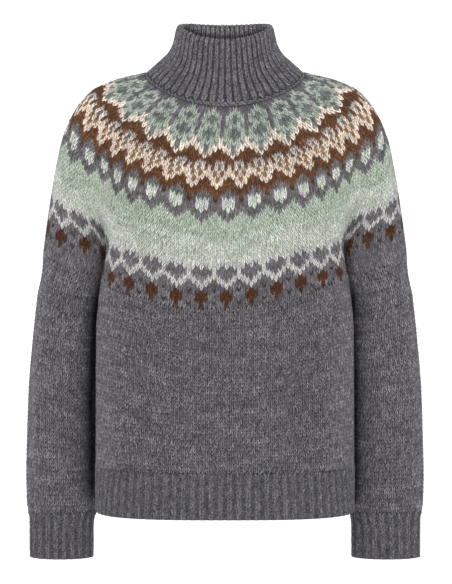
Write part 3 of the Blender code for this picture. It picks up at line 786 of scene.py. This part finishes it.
def plain_stitches(rows, count, colour=GREY):
    """Rows, places, heights, widths and colours of plain stocking stitch round a tube."""
    n, j = (g.ravel() for g in np.meshgrid(np.arange(rows), np.arange(count), indexing="ij"))
    one = np.ones(n.size)
    colours = strand(rows, count).reshape(-1, 1) * colour
    return [(n + 0.5) / rows, j / count, one / rows, one / count, colours]


def make_piece(name, points, quads, dye, uv, material):
    """A smooth mesh of quads or triangles with a colour at each point and a UV map, in metres."""
    mesh = bpy.data.meshes.new(name)
    mesh.vertices.add(len(points))
    mesh.vertices.foreach_set("co", (points * MM).astype(np.float32).ravel())
    mesh.loops.add(quads.size)
    mesh.loops.foreach_set("vertex_index", quads.astype(np.int32).ravel())
    mesh.polygons.add(len(quads))
    starts = np.arange(0, quads.size, quads.shape[1], dtype=np.int32)
    mesh.polygons.foreach_set("loop_start", starts)
    mesh.update(calc_edges=True)
    mesh.polygons.foreach_set("use_smooth", np.ones(len(quads), bool))
    layer = mesh.attributes.new("dye", "FLOAT_COLOR", "POINT")
    rgba = np.column_stack([dye, np.ones(len(dye))]).astype(np.float32)
    layer.data.foreach_set("color", rgba.ravel())
    uv_map = mesh.uv_layers.new(name="OFBake")
    uv_map.uv.foreach_set("vector", uv[quads.ravel()].astype(np.float32).ravel())
    mesh.materials.append(material)
    thing = bpy.data.objects.new(name, mesh)
    bpy.context.scene.collection.objects.link(thing)
    return thing


LEG_COLUMNS = "down across half_width lift".split()
LEG = (
    (1.26, 0.04, 0.09, 0.60),
    (0.48, 0.25, 0.18, 1.00),
    (-0.52, 0.48, 0.11, -0.10),
)
EDGE_DEPTH = -0.45
# Painted light along a leg, from its foot to its top: a painted highlight at its middle and
# painted shade at its top, where it tucks under the loop above
LEG_LIGHT_AND_SHADE = (0.95, 1.08, 0.62)


def legs(
    surface,
    rows,
    around,
    tall,
    wide,
    yarns,
    height=1.15,
    slope=0.0,
    uneven=0.2,
    stout=1.0,
    end=2.0,
    short=0.0,
    light_and_shade=LEG_LIGHT_AND_SHADE,
):
    """The two legs of each stitch: raised patches three points long and three across, whose
    middle line leans outward and whose edges sink into the shell. None reaches past end."""
    leg = table(LEG_COLUMNS, LEG)
    count = len(rows)
    shape = (count, 2, 3, 3)
    side = np.array([-1.0, 1.0])[None, :, None, None]
    cross = np.array([-1.0, 0.0, 1.0])[None, None, None, :]
    part = {n: leg[n][None, None, :, None] for n in LEG_COLUMNS}
    sway = 0.035 * rng.standard_normal((count, 2, 1, 1))
    plump = 1 + 0.14 * rng.standard_normal((count, 2, 1, 1))
    down = part["down"] - 0.5 + 0.05 * rng.standard_normal((count, 1, 1, 1)) + side * cross * 0.12
    down = down - short * (part["down"] > 1)
    across = side * part["across"] + cross * part["half_width"] * stout + sway
    aside = across * wide[:, None, None, None]
    rise = aside * (slope + 0 * rows)[:, None, None, None]
    row = rows[:, None, None, None] + down * tall[:, None, None, None] + rise
    row = np.broadcast_to(np.minimum(row, end), shape)
    turn = np.broadcast_to(around[:, None, None, None] + aside, shape)
    ridge = 1 - np.abs(cross)
    lift = height * plump * part["lift"] * ridge + EDGE_DEPTH * (1 - ridge) + 0 * row
    points = surface.point(row, turn, lift).reshape(-1, 3)
    uneven = np.broadcast_to(uneven, count)
    plies = heather(count * 2, 0.8 * np.repeat(uneven, 2)).reshape(count, 2, 1, 1, 1)
    shade = yarns[:, None, None, None, :] * plies
    # Painted highlight at each leg's middle and painted shade at its top
    ends = np.array(light_and_shade)[None, None, :, None, None]
    strands = heather(count * 18, np.repeat(uneven, 18)).reshape(count, 2, 3, 3, 1)
    dye = (shade * ends * strands).reshape(-1, 3)
    return points, patches(count * 2), dye


def patches(count):
    """The four quads of each patch of three by three points."""
    first = np.arange(count)[:, None] * 9 + np.array([0, 1, 3, 4])
    return np.stack([first, first + 3, first + 4, first + 1], -1).reshape(-1, 4)


def cell_uv(count, columns):
    """UV places of patches of nine points, each in a cell of its own."""
    n = np.arange(count)
    lines = math.ceil(count / columns)
    u = (n % columns)[:, None, None] + 0.12 + 0.38 * np.arange(3)[None, None, :]
    v = (n // columns)[:, None, None] + 0.12 + 0.38 * np.arange(3)[None, :, None]
    u, v = np.broadcast_arrays(u / columns, v / lines)
    return np.stack([u, v], -1).reshape(-1, 2)


def shell(surface, row_edges, arounds, dye, closed=True):
    """A thin closed shell just under the stitches: an outer and an inner grid and a rim."""
    r = row_edges[:, None] + 0 * arounds
    a = arounds + 0 * r
    outer = surface.point(r, a, np.full(r.shape, -SHELL_DEPTH))
    inner = surface.point(r, a, np.full(r.shape, -WALL))
    rows, columns = r.shape
    points = np.concatenate([outer.reshape(-1, 3), inner.reshape(-1, 3)])
    a_id = np.arange(rows * columns).reshape(rows, columns)
    b_id = a_id + rows * columns
    if closed:
        a_id, b_id = (np.concatenate([g, g[:, :1]], 1) for g in (a_id, b_id))
    quads = [squares(a_id), squares(b_id)[:, ::-1]]
    quads.append(squares(np.stack([b_id[0], a_id[0]])))
    quads.append(squares(np.stack([a_id[-1], b_id[-1]])))
    if not closed:
        quads.append(squares(np.stack([b_id[:, 0], a_id[:, 0]], 1)))
        quads.append(squares(np.stack([a_id[:, -1], b_id[:, -1]], 1)))
    u = np.arange(columns)[None, :] / columns * 0.98 + 0.01 + 0 * r
    v = np.arange(rows)[:, None] / rows * 0.48 + 0.01 + 0 * r
    uv = np.concatenate([np.stack([u, v], -1), np.stack([u, v + 0.5], -1)]).reshape(-1, 2)
    dyes = np.concatenate([dye.reshape(-1, 3), dye.reshape(-1, 3)])
    return points, np.concatenate(quads), dyes, uv


def fuzz(surface, rows, around, tall, wide, yarns, each, reach=5.0):
    """Loose fibres of brushed wool: thin pointed triangles that start on a stitch, have its
    colour and lie over its neighbours, most of them along the knitting."""
    pick = np.repeat(np.arange(len(rows)), each)
    count = len(pick)
    turn = rng.normal(0, 0.75, count) + np.pi * rng.integers(0, 2, count)
    size = reach * rng.uniform(0.5, 1.3, count)
    row = rows[pick] + rng.uniform(-0.5, 0.5, count) * tall[pick]
    place = around[pick] + rng.uniform(-0.4, 0.4, count) * wide[pick]
    root = surface.point(row, place, rng.uniform(0.3, 1.0, count))
    down = surface.point(row + 0.01, place) - surface.point(row - 0.01, place)
    side = surface.point(row, place + 0.004) - surface.point(row, place - 0.004)
    down /= np.linalg.norm(down, axis=1, keepdims=True)
    side /= np.linalg.norm(side, axis=1, keepdims=True)
    out = np.cross(down, side)
    run = down * np.cos(turn)[:, None] + side * np.sin(turn)[:, None]
    rise = np.abs(rng.normal(0, 0.22, count))[:, None] + 0.12
    tip = root + (run + out * rise) * size[:, None]
    wing = np.cross(run, out) * 0.16
    points = np.stack([root - wing, root + wing, tip], 1).reshape(-1, 3)
    triangles = np.arange(count * 3).reshape(-1, 3)
    shade = yarns[pick] * heather(count, 0.2)[:, None] * 1.1
    dye = np.repeat(shade, 3, axis=0)
    columns = 256
    cell = np.stack([np.arange(count) % columns, np.arange(count) // columns], 1)
    corners = np.array([(0.1, 0.1), (0.9, 0.1), (0.5, 0.9)])
    uv = (cell[:, None] + corners) / (columns, math.ceil(count / columns))
    return points, triangles, dye, uv.reshape(-1, 2)


def squares(ids):
    """Quads over a grid of point numbers, facing out of the cloth."""
    return np.stack([ids[:-1, :-1], ids[1:, :-1], ids[1:, 1:], ids[:-1, 1:]], -1).reshape(-1, 4)


class Field:
    """A socket of a material's nodes that takes part in sums and products."""

    def __init__(self, tree, socket):
        self.tree, self.socket = tree, socket

    def node(self, kind, settings, **sockets):
        """Adds a node of any kind, with its settings and its inputs, and gives its outputs."""
        made = self.tree.nodes.new(kind)
        for key, value in settings.items():
            setattr(made, key, value)
        for key, value in sockets.items():
            socket = made.inputs[int(key[1:])] if key[1:].isdigit() else made.inputs[key]
            if isinstance(value, Field):
                self.tree.links.new(value.socket, socket)
            else:
                socket.default_value = value
        return [Field(self.tree, out) for out in made.outputs]

    def __add__(self, other):
        return self.node("ShaderNodeMath", {"operation": "ADD"}, _0=self, _1=other)[0]

    def __mul__(self, other):
        return self.node("ShaderNodeMath", {"operation": "MULTIPLY"}, _0=self, _1=other)[0]

    __radd__ = __add__
    __rmul__ = __mul__

    def times(self, colour):
        """This number by a colour."""
        grey = self.node("ShaderNodeCombineColor", {}, _0=self, _1=self, _2=self)[0]
        settings = {"data_type": "RGBA", "blend_type": "MULTIPLY"}
        return self.node("ShaderNodeMix", settings, _0=1.0, _6=colour, _7=grey)[2]

    def noise(self, scale, detail):
        """Noise at this place."""
        return self.node("ShaderNodeTexNoise", {}, Vector=self, Scale=scale, Detail=detail)[0]

    def ramp(self, low, high, first, last):
        """A smooth step from the first value to the last while this number rises."""
        settings = {"interpolation_type": "SMOOTHSTEP"}
        ends = {"_1": low, "_2": high, "_3": first, "_4": last}
        return self.node("ShaderNodeMapRange", settings, _0=self, **ends)[0]


FLECK = (0.45, 0.44, 0.45, 1)
WOOL_SURFACE = {
    "Roughness": 0.95,
    "Specular IOR Level": 0.2,
    "Sheen Weight": 0.10,
    "Sheen Roughness": 0.45,
    "Sheen Tint": (0.9, 0.9, 0.9, 1),
}


def wool(name, fleck=0.30, mottled=0.45):
    """Brushed wool: the stitch's own dye, broken by fine fibres, pale flecks and soft sheen."""
    material = bpy.data.materials.new(name)
    material.use_nodes = True
    tree = material.node_tree
    shader = tree.nodes["Principled BSDF"]
    start = Field(tree, None)
    dye = start.node("ShaderNodeAttribute", {"attribute_name": "dye"})[0]
    place = start.node("ShaderNodeTexCoord", {})[3]
    fibre = place.noise(1300.0, 3.0)
    mottle = place.noise(460.0, 2.0).ramp(0.34, 0.66, 1.0 - mottled, 1.0 + mottled)
    patch = place.noise(60.0, 2.0)
    share = place.noise(620.0, 1.0).ramp(0.60, 0.78, 0.0, fleck)
    bright = (mottle * (0.66 + fibre * 0.42 + patch * 0.26)).times(dye)
    colour = start.node("ShaderNodeMix", {"data_type": "RGBA"}, _0=share, _6=bright, _7=FLECK)[2]
    tree.links.new(colour.socket, shader.inputs["Base Color"])
    bump = start.node("ShaderNodeBump", {}, Strength=0.5, Distance=0.0006, Height=fibre)[0]
    tree.links.new(bump.socket, shader.inputs["Normal"])
    for key, value in WOOL_SURFACE.items():
        shader.inputs[key].default_value = value
    return material


WOOLS = {
    "rib_wool": wool("rib wool"),
    "yoke_wool": wool("yoke wool", fleck=0.26, mottled=0.26),
    "plain_wool": wool("plain wool"),
}


def dress(name, slot, cloth, extras, flat, area=None, held="hung", rests_on=("yoke",)):
    """Parents a shell and its stitches to the root body and hides the CAD node that they stand
    for.
    """
    for piece in [cloth] + extras:
        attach(piece, "root")
    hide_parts(name)


def knitted(name, slot, stitches, uv_columns, cloth, loose, flat, **sheet):
    points, quads, dye = stitches
    uv = cell_uv(len(points) // 9, uv_columns)
    stitches = make_piece(name + "_stitches", points, quads, dye, uv, WOOLS[slot])
    cloth = make_piece(name + "_cloth", *cloth, WOOLS[slot])
    loose = make_piece(name + "_fuzz", *loose, WOOLS[slot])
    dress(name, slot, cloth, [stitches, loose], flat, **sheet)


YOKE_CLOTH = yoke_surface()
ROW_LINES = row_lines(YOKE_CLOTH)
# The yoke legs' painted highlight and painted shade, from foot to top
YOKE_LEG_LIGHT_AND_SHADE = (0.93, 1.10, 0.54)
SPLIT_ROW = 31


def knit_yoke():
    """Patterned stitches in two pieces, the chain at the seam, a shell and fibres."""
    surface, lines = YOKE_CLOTH, ROW_LINES
    rows, around, tall, wide, yarns, slope, number = yoke_stitches(lines)
    extras = []
    for name, part in (("diamonds", number < SPLIT_ROW), ("bands", number >= SPLIT_ROW)):
        chosen = [a[part] for a in (rows, around, tall, wide, yarns)]
        uneven = np.where(is_dark(yarns[part]), 0.30, 0.13)
        aside = np.abs((around[part] + 0.5) % 1.0 - 0.5)
        on_arm = (aside > CREASE_AT / 2) & (aside < REAR_CREASE_AT / 2)
        end = np.where(on_arm, 1.004, 2.0)[:, None, None, None]
        stitches = [legs(surface, *chosen, 1.05, slope[part], uneven, 0.9, end, light_and_shade=YOKE_LEG_LIGHT_AND_SHADE)]
        if name == "diamonds":
            stitches.append(seam_row(surface))
        points, quads, dye = joined(*stitches)
        uv = cell_uv(len(points) // 9, 128)
        extras.append(make_piece("yoke_" + name, points, quads, dye, uv, WOOLS["yoke_wool"]))
    under, edges, columns = yoke_shell_painted_shade(lines, around, yarns, number)
    cloth = make_piece("yoke_cloth", *shell(surface, edges, columns, under), WOOLS["yoke_wool"])
    loose = fuzz(surface, rows, around, tall, wide, yarns, 3)
    extras.append(make_piece("yoke_fuzz", *loose, WOOLS["yoke_wool"]))
    size = (1.30, 0.300)
    dress("yoke", "yoke_wool", cloth, extras, size, area=0.30, held="draped", rests_on=())


def yoke_shell_painted_shade(lines, around, yarns, number, count=240):
    """Colours of the yoke's shell: each row's nearest stitch colour, darkened as painted shade
    between the stitches.
    """
    columns = np.arange(count) / count
    edges = np.linspace(0, 1, YOKE_ROWS + 1)
    under = np.tile(GREY, (len(edges), count, 1))
    line = lines[:, (columns * LINE_STEPS + LINE_STEPS // 2).astype(int) % LINE_STEPS]
    runs = [np.interp(edges, line[:, c], np.arange(len(line))) for c in range(count)]
    counted = np.stack(runs, 1)
    for n in range(1, YOKE_ROWS):
        here = number == n
        order = np.argsort(around[here])
        places, shades = around[here][order], yarns[here][order]
        inside = np.floor(counted).astype(int) == n
        nearest = np.searchsorted(places, np.broadcast_to(columns, inside.shape)) % len(places)
        under[inside] = shades[nearest[inside]]
    # Painted shade: the shell between the stitches darker than their yarn, and its first row at
    # the seam darker still, as shade in the seam's groove
    under = under * np.where(is_dark(under)[..., None], 0.50, 0.34)
    under[:1] = GREY * 0.15
    return under, edges, columns


def joined(*parts):
    """Several sets of points, quads and dyes as one."""
    points, quads, dyes, first = [], [], [], 0
    for p, q, d in parts:
        points.append(p)
        quads.append(q + first)
        dyes.append(d)
        first += len(p)
    return np.concatenate(points), np.concatenate(quads), np.concatenate(dyes)


def seam_row(surface, count=200):
    """The chain where the neckband was picked up: two rows of low rounded links with small dark
    gaps, those of one row over the links of the other."""
    line = np.arange(count) % 2
    down = np.array([-0.5, 0.0, 0.5])[None, :, None]
    across = np.array([-0.5, 0.0, 0.5])[None, None, :]
    row = ((0.62 * line - 0.72) / YOKE_ROWS)[:, None, None] + down * 0.74 / YOKE_ROWS + 0 * across
    turn = (np.arange(count) / count)[:, None, None] + across * 1.72 / count + 0 * down
    round_off = (1 - 2 * np.abs(down)) * (1 - 0.8 * np.abs(across) * 2)
    plump = 1 + 0.15 * rng.standard_normal((count, 1, 1))
    lift = 1.5 * plump * round_off + EDGE_DEPTH * (1 - round_off)
    points = surface.point(row, turn, lift).reshape(-1, 3)
    shade = GREY * 1.05 * heather(count).reshape(count, 1, 1, 1)
    return points, patches(count), np.broadcast_to(shade, (count, 3, 3, 3)).reshape(-1, 3)


def covered_rows(around):
    """How many rows of the body lie under the yoke's last rows, where those sag."""
    share = half_way(around)
    x = np.interp(share, BODY_SHARES, BODY_TOP[:, 0]) * np.where(around <= 0.5, 1, -1)
    place = np.linspace(-CREASE_AT / 2, CREASE_AT / 2, 121)
    foot = YOKE_CLOTH.point(np.ones(121), place)
    above = YOKE_CLOTH.point(np.full(121, 0.99), place)
    depth = 100 * np.linalg.norm(foot - above, axis=1)
    reach = (foot_limit(ROW_LINES, place) - 1) * depth
    row = (foot[:, 2] - HEM_TOP_Z) / BODY_ROWS
    return np.interp(x, foot[:, 0], reach / row)


# The last entry is the plain legs' painted highlight and painted shade, from foot to top
PLAIN = {"uneven": 0.24, "stout": 0.78, "short": 0.16, "light_and_shade": (0.90, 1.16, 0.50)}
# Painted shade: how dark the plain shell is between the stitches, against the yarn
GAP_PAINTED_SHADE = 0.17
SIDE_GAP = 0.00015


def knit_plain(name, surface, plan, uv_columns, rows, columns, flat, closed=True, area=None):
    """Stocking stitch over a shell painted dark between the stitches as shade."""
    stitches = legs(surface, *plan, **PLAIN)
    loose = fuzz(surface, *plan, 1, 4.0)
    edges = np.linspace(0, 1, rows + 1)
    dye = np.tile(GREY * GAP_PAINTED_SHADE, (len(edges), len(columns), 1))
    cloth = shell(surface, edges, columns, dye, closed)
    knitted(name, "plain_wool", stitches, uv_columns, cloth, loose, flat, area=area)


def knit_body():
    """The front and the back: plain stitches, parted at the side seams."""
    surface = body_surface()
    plan = plain_stitches(BODY_ROWS, BODY_STITCHES, GREY * 1.05)
    rows, around = plan[:2]
    inside = np.abs((around + 0.5) % 1.0 - 0.5) < SIDE_SEAM
    shown = inside & (rows * BODY_ROWS > covered_rows(around))
    for name, keep, start, end, flat in (
        ("body_front", shown, -SIDE_SEAM, SIDE_SEAM, (0.500, 0.24)),
        ("body_back", ~inside, SIDE_SEAM, 1 - SIDE_SEAM, (0.500, 0.27)),
    ):
        columns = np.linspace(start + SIDE_GAP, end - SIDE_GAP, 89)
        chosen = [a[keep] for a in plan]
        knit_plain(name, surface, chosen, 130, BODY_ROWS, columns, flat, closed=False)


def knit_sleeve(side):
    """A sleeve: plain stitches right round."""
    name = "sleeve_" + SIDES[side]
    # Painted light: the sleeves' grey is raised above the body's, a little more on the right
    # sleeve
    grey = GREY * (1.10 if side > 0 else 1.13)
    plan = plain_stitches(SLEEVE_ROWS, SLEEVE_STITCHES, grey)
    columns = np.arange(SLEEVE_STITCHES) / SLEEVE_STITCHES
    flat = (0.345, 0.340)
    knit_plain(name, sleeve_surface(side), plan, 84, SLEEVE_ROWS, columns, flat, area=0.102)


def rib_stitches(surface, rows, place, first, last, crest, purl, tone, shade, bare=0):
    """Knit columns on the crests of ribs, ones in the furrows darkened by tone as painted shade,
    and loose fibres.
    """
    rib = np.arange(first, last)
    n, k = (g.ravel() for g in np.meshgrid(np.arange(rows - bare), rib, indexing="ij"))
    one = np.ones(n.size)
    period = place(k + 1.0) - place(k + 0.0)
    row = (n + 0.5) / rows
    grey = shade(row, place(k + 0.5))[:, None] * GREY
    tall, end = one / rows, 1.0
    knit = legs(surface, row, place(k + 0.5), tall, period * crest, grey, 0.9, stout=0.9, end=end)
    # The furrow stitches' darkening by tone is painted shade
    furrow = legs(surface, row, place(k + 0.0), tall, period * purl, grey * tone, 0.4, end=end)
    return joined(knit, furrow), fuzz(surface, row, place(k + 0.5), tall, period, grey, 1, 3.0)


def hem_shade(row, around):
    """The ribbing's brightness against the plain knitting."""
    return 0.86 + 0 * row


# Painted light and shade of the neckband, by how far a row is above the lowest one that shows
# inside,
# which climbs from the back's middle to the sides, and then over the fold and down the outside:
# painted shade just inside the rim, painted light higher inside and a painted highlight over the
# fold
DEEP_ROWS = (0.000, 0.015, 0.030, 0.055, 0.080)
INSIDE_LIGHT_AND_SHADE = (0.30, 0.42, 1.00, 1.70, 1.95)
FOLD_ROWS = (0.480, 0.490, 0.530, 0.560)
FOLD_HIGHLIGHT = (1.60, 1.30, 1.30, 1.02)
FOLD_ROW = 0.505
SHOWN_ROWS = 0.135


def collar_painted_light(row, around):
    """The neckband's painted light: painted light inside and a painted highlight over the fold,
    painted shade far inside.
    """
    lowest = FOLD_ROW - SHOWN_ROWS * np.abs(np.cos(2 * np.pi * around))
    inside = np.interp(row - lowest, DEEP_ROWS, INSIDE_LIGHT_AND_SHADE)
    return np.where(row < FOLD_ROWS[0], inside, np.interp(row, FOLD_ROWS, FOLD_HIGHLIGHT))


def rib_shell_painted_shade(rows, columns, per_rib=6):
    """Colours of a ribbed shell: dark as painted shade between the stitches, darker still as
    painted shade in the furrows.
    """
    crest = crests(np.arange(columns) / per_rib)
    return np.tile((0.22 + 0.20 * crest)[None, :, None] * GREY, (rows, 1, 1))


def knit_ribs(name, surface, rows, place, first, last, uv_columns, columns, flat, closed=True):
    """Ribbing of a hem or a cuff."""
    stitches, loose = rib_stitches(
        surface, rows, place, first, last, crest=0.62, purl=0.44, tone=0.62, shade=hem_shade
    )
    edges = np.linspace(0, 1, rows + 1)
    dye = rib_shell_painted_shade(len(edges), len(columns))
    cloth = shell(surface, edges, columns, dye, closed)
    knitted(name, "rib_wool", stitches, uv_columns, cloth, loose, flat)


def hem_place(rib):
    """Where a rib lies round the hem, less than 0 on the wearer's right."""
    return np.where(rib < 0, hem_around(rib % HEM_RIBS) - 1, hem_around(rib))


def knit_hem():
    """The hem's front and back, each with its own ribbing."""
    surface = hem_surface()
    side = HEM_SIDE_RIB
    for name, first, last in (("hem_front", -side, side), ("hem_back", side, HEM_RIBS - side)):
        columns = hem_place(np.linspace(first, last, (last - first) * 6 + 1))
        columns[0] += SIDE_GAP
        columns[-1] -= SIDE_GAP
        flat = (0.54, 0.060)
        knit_ribs(name, surface, 14, hem_place, first, last, 45, columns, flat, closed=False)


def cuff_place(rib):
    """Where a rib lies round a cuff."""
    return rib / CUFF_RIBS


def knit_cuff(side):
    """A cuff: ribbing right round."""
    name = "cuff_" + SIDES[side]
    columns = np.arange(CUFF_RIBS * 6) / (CUFF_RIBS * 6)
    flat = (0.24, 0.063)
    knit_ribs(name, cuff_surface(side), 15, cuff_place, 0, CUFF_RIBS, 30, columns, flat)


def collar_place(rib):
    """Where a rib lies round the neckband."""
    return rib / COLLAR_RIBS


def knit_collar():
    """The neckband is doubled: its shell is the folded cloth itself, closed at the seam."""
    surface = collar_surface()
    rows = 42
    stitches, loose = rib_stitches(
        surface, rows, collar_place, 0, COLLAR_RIBS, 0.76, 0.30, 0.34, collar_painted_light, bare=1
    )
    columns = np.arange(COLLAR_RIBS * 6) / (COLLAR_RIBS * 6)
    r = np.linspace(0, 1, rows + 1)[:, None] + 0 * columns
    skin = surface.point(r, columns + 0 * r, np.full(r.shape, -SHELL_DEPTH)).reshape(-1, 3)
    ids = np.arange(r.size).reshape(r.shape)
    ids = np.concatenate([ids, ids[:, :1]], 1)
    quads = np.concatenate([squares(ids), squares(np.stack([ids[-1], ids[0]]))])
    uv = np.stack([(columns + 0 * r) * 0.98 + 0.01, r * 0.96 + 0.01], -1).reshape(-1, 2)
    # The neckband's shell takes the same painted light and shade
    dye = rib_shell_painted_shade(rows + 1, len(columns)) * collar_painted_light(r, columns)[..., None]
    # Painted shade: the last two rows, at the seam, are dark as shade in the seam's groove
    dye[-2:] = GREY * 0.20
    cloth = (skin, quads, dye.reshape(-1, 3), uv)
    flat, held = (0.50, 0.090), "stretched"
    knitted("collar", "rib_wool", stitches, 80, cloth, loose, flat, held=held, rests_on=())


knit_collar()
knit_yoke()
knit_body()
knit_hem()
for side in SIDES:
    knit_sleeve(side)
    knit_cuff(side)


def build_floor():
    """A pale floor that sweeps up behind, well clear of the sweater."""
    material = bpy.data.materials.new("pale floor")
    material.use_nodes = True
    shader = material.node_tree.nodes["Principled BSDF"]
    shader.inputs["Base Color"].default_value = (0.92, 0.92, 0.92, 1)
    shader.inputs["Roughness"].default_value = 0.9
    shader.inputs["Emission Color"].default_value = (1, 1, 1, 1)
    shader.inputs["Emission Strength"].default_value = 0.35
    profile = [(-4.0, 0.0), (2.5, 0.0)]
    for a in np.linspace(0, np.pi / 2, 13)[1:]:
        profile.append((2.5 + 1.5 * math.sin(a), 1.5 - 1.5 * math.cos(a)))
    profile.append((4.0, 5.0))
    points = [(x, y, z - 1.45) for x in (-5.0, 5.0) for y, z in profile]
    n = len(profile)
    mesh = bpy.data.meshes.new("floor")
    mesh.from_pydata(points, [], [(k, k + n, k + n + 1, k + 1) for k in range(n - 1)])
    mesh.polygons.foreach_set("use_smooth", [True] * (n - 1))
    mesh.materials.append(material)
    thing = bpy.data.objects.new("floor", mesh)
    bpy.context.scene.collection.objects.link(thing)


def area_light(name, place, size, power):
    """A square light that looks at the sweater."""
    light = bpy.data.lights.new(name, "AREA")
    light.shape = "RECTANGLE"
    light.size, light.size_y = size
    light.energy = power
    thing = bpy.data.objects.new(name, light)
    thing.location = place
    bpy.context.scene.collection.objects.link(thing)
    away = Vector((0, 0, -0.3)) - thing.location
    thing.rotation_euler = away.to_track_quat("-Z", "Y").to_euler()


build_floor()
area_light("key", (-0.9, -2.4, 1.1), (1.4, 1.4), 26)
area_light("fill", (1.3, -2.2, 0.2), (1.6, 1.6), 14)

world = bpy.data.worlds.new("studio")
bpy.context.scene.world = world
world.use_nodes = True
world.node_tree.nodes["Background"].inputs["Color"].default_value = (1, 1, 1, 1)
world.node_tree.nodes["Background"].inputs["Strength"].default_value = 0.75

PIXEL_MM = 1.36
PHOTO_HEIGHT = 584
SENSOR = 36
DISTANCE = 2.3
camera = bpy.data.cameras.new("camera")
camera.lens = SENSOR * DISTANCE / (PHOTO_HEIGHT * PIXEL_MM * MM)
camera.clip_end = 50
viewer = bpy.data.objects.new("camera", camera)
viewer.location = (0.0014, -DISTANCE, -0.2965)
viewer.rotation_euler = (math.pi / 2, 0, 0)
bpy.context.scene.collection.objects.link(viewer)
bpy.context.scene.camera = viewer
bpy.context.scene.view_settings.view_transform = "Standard"
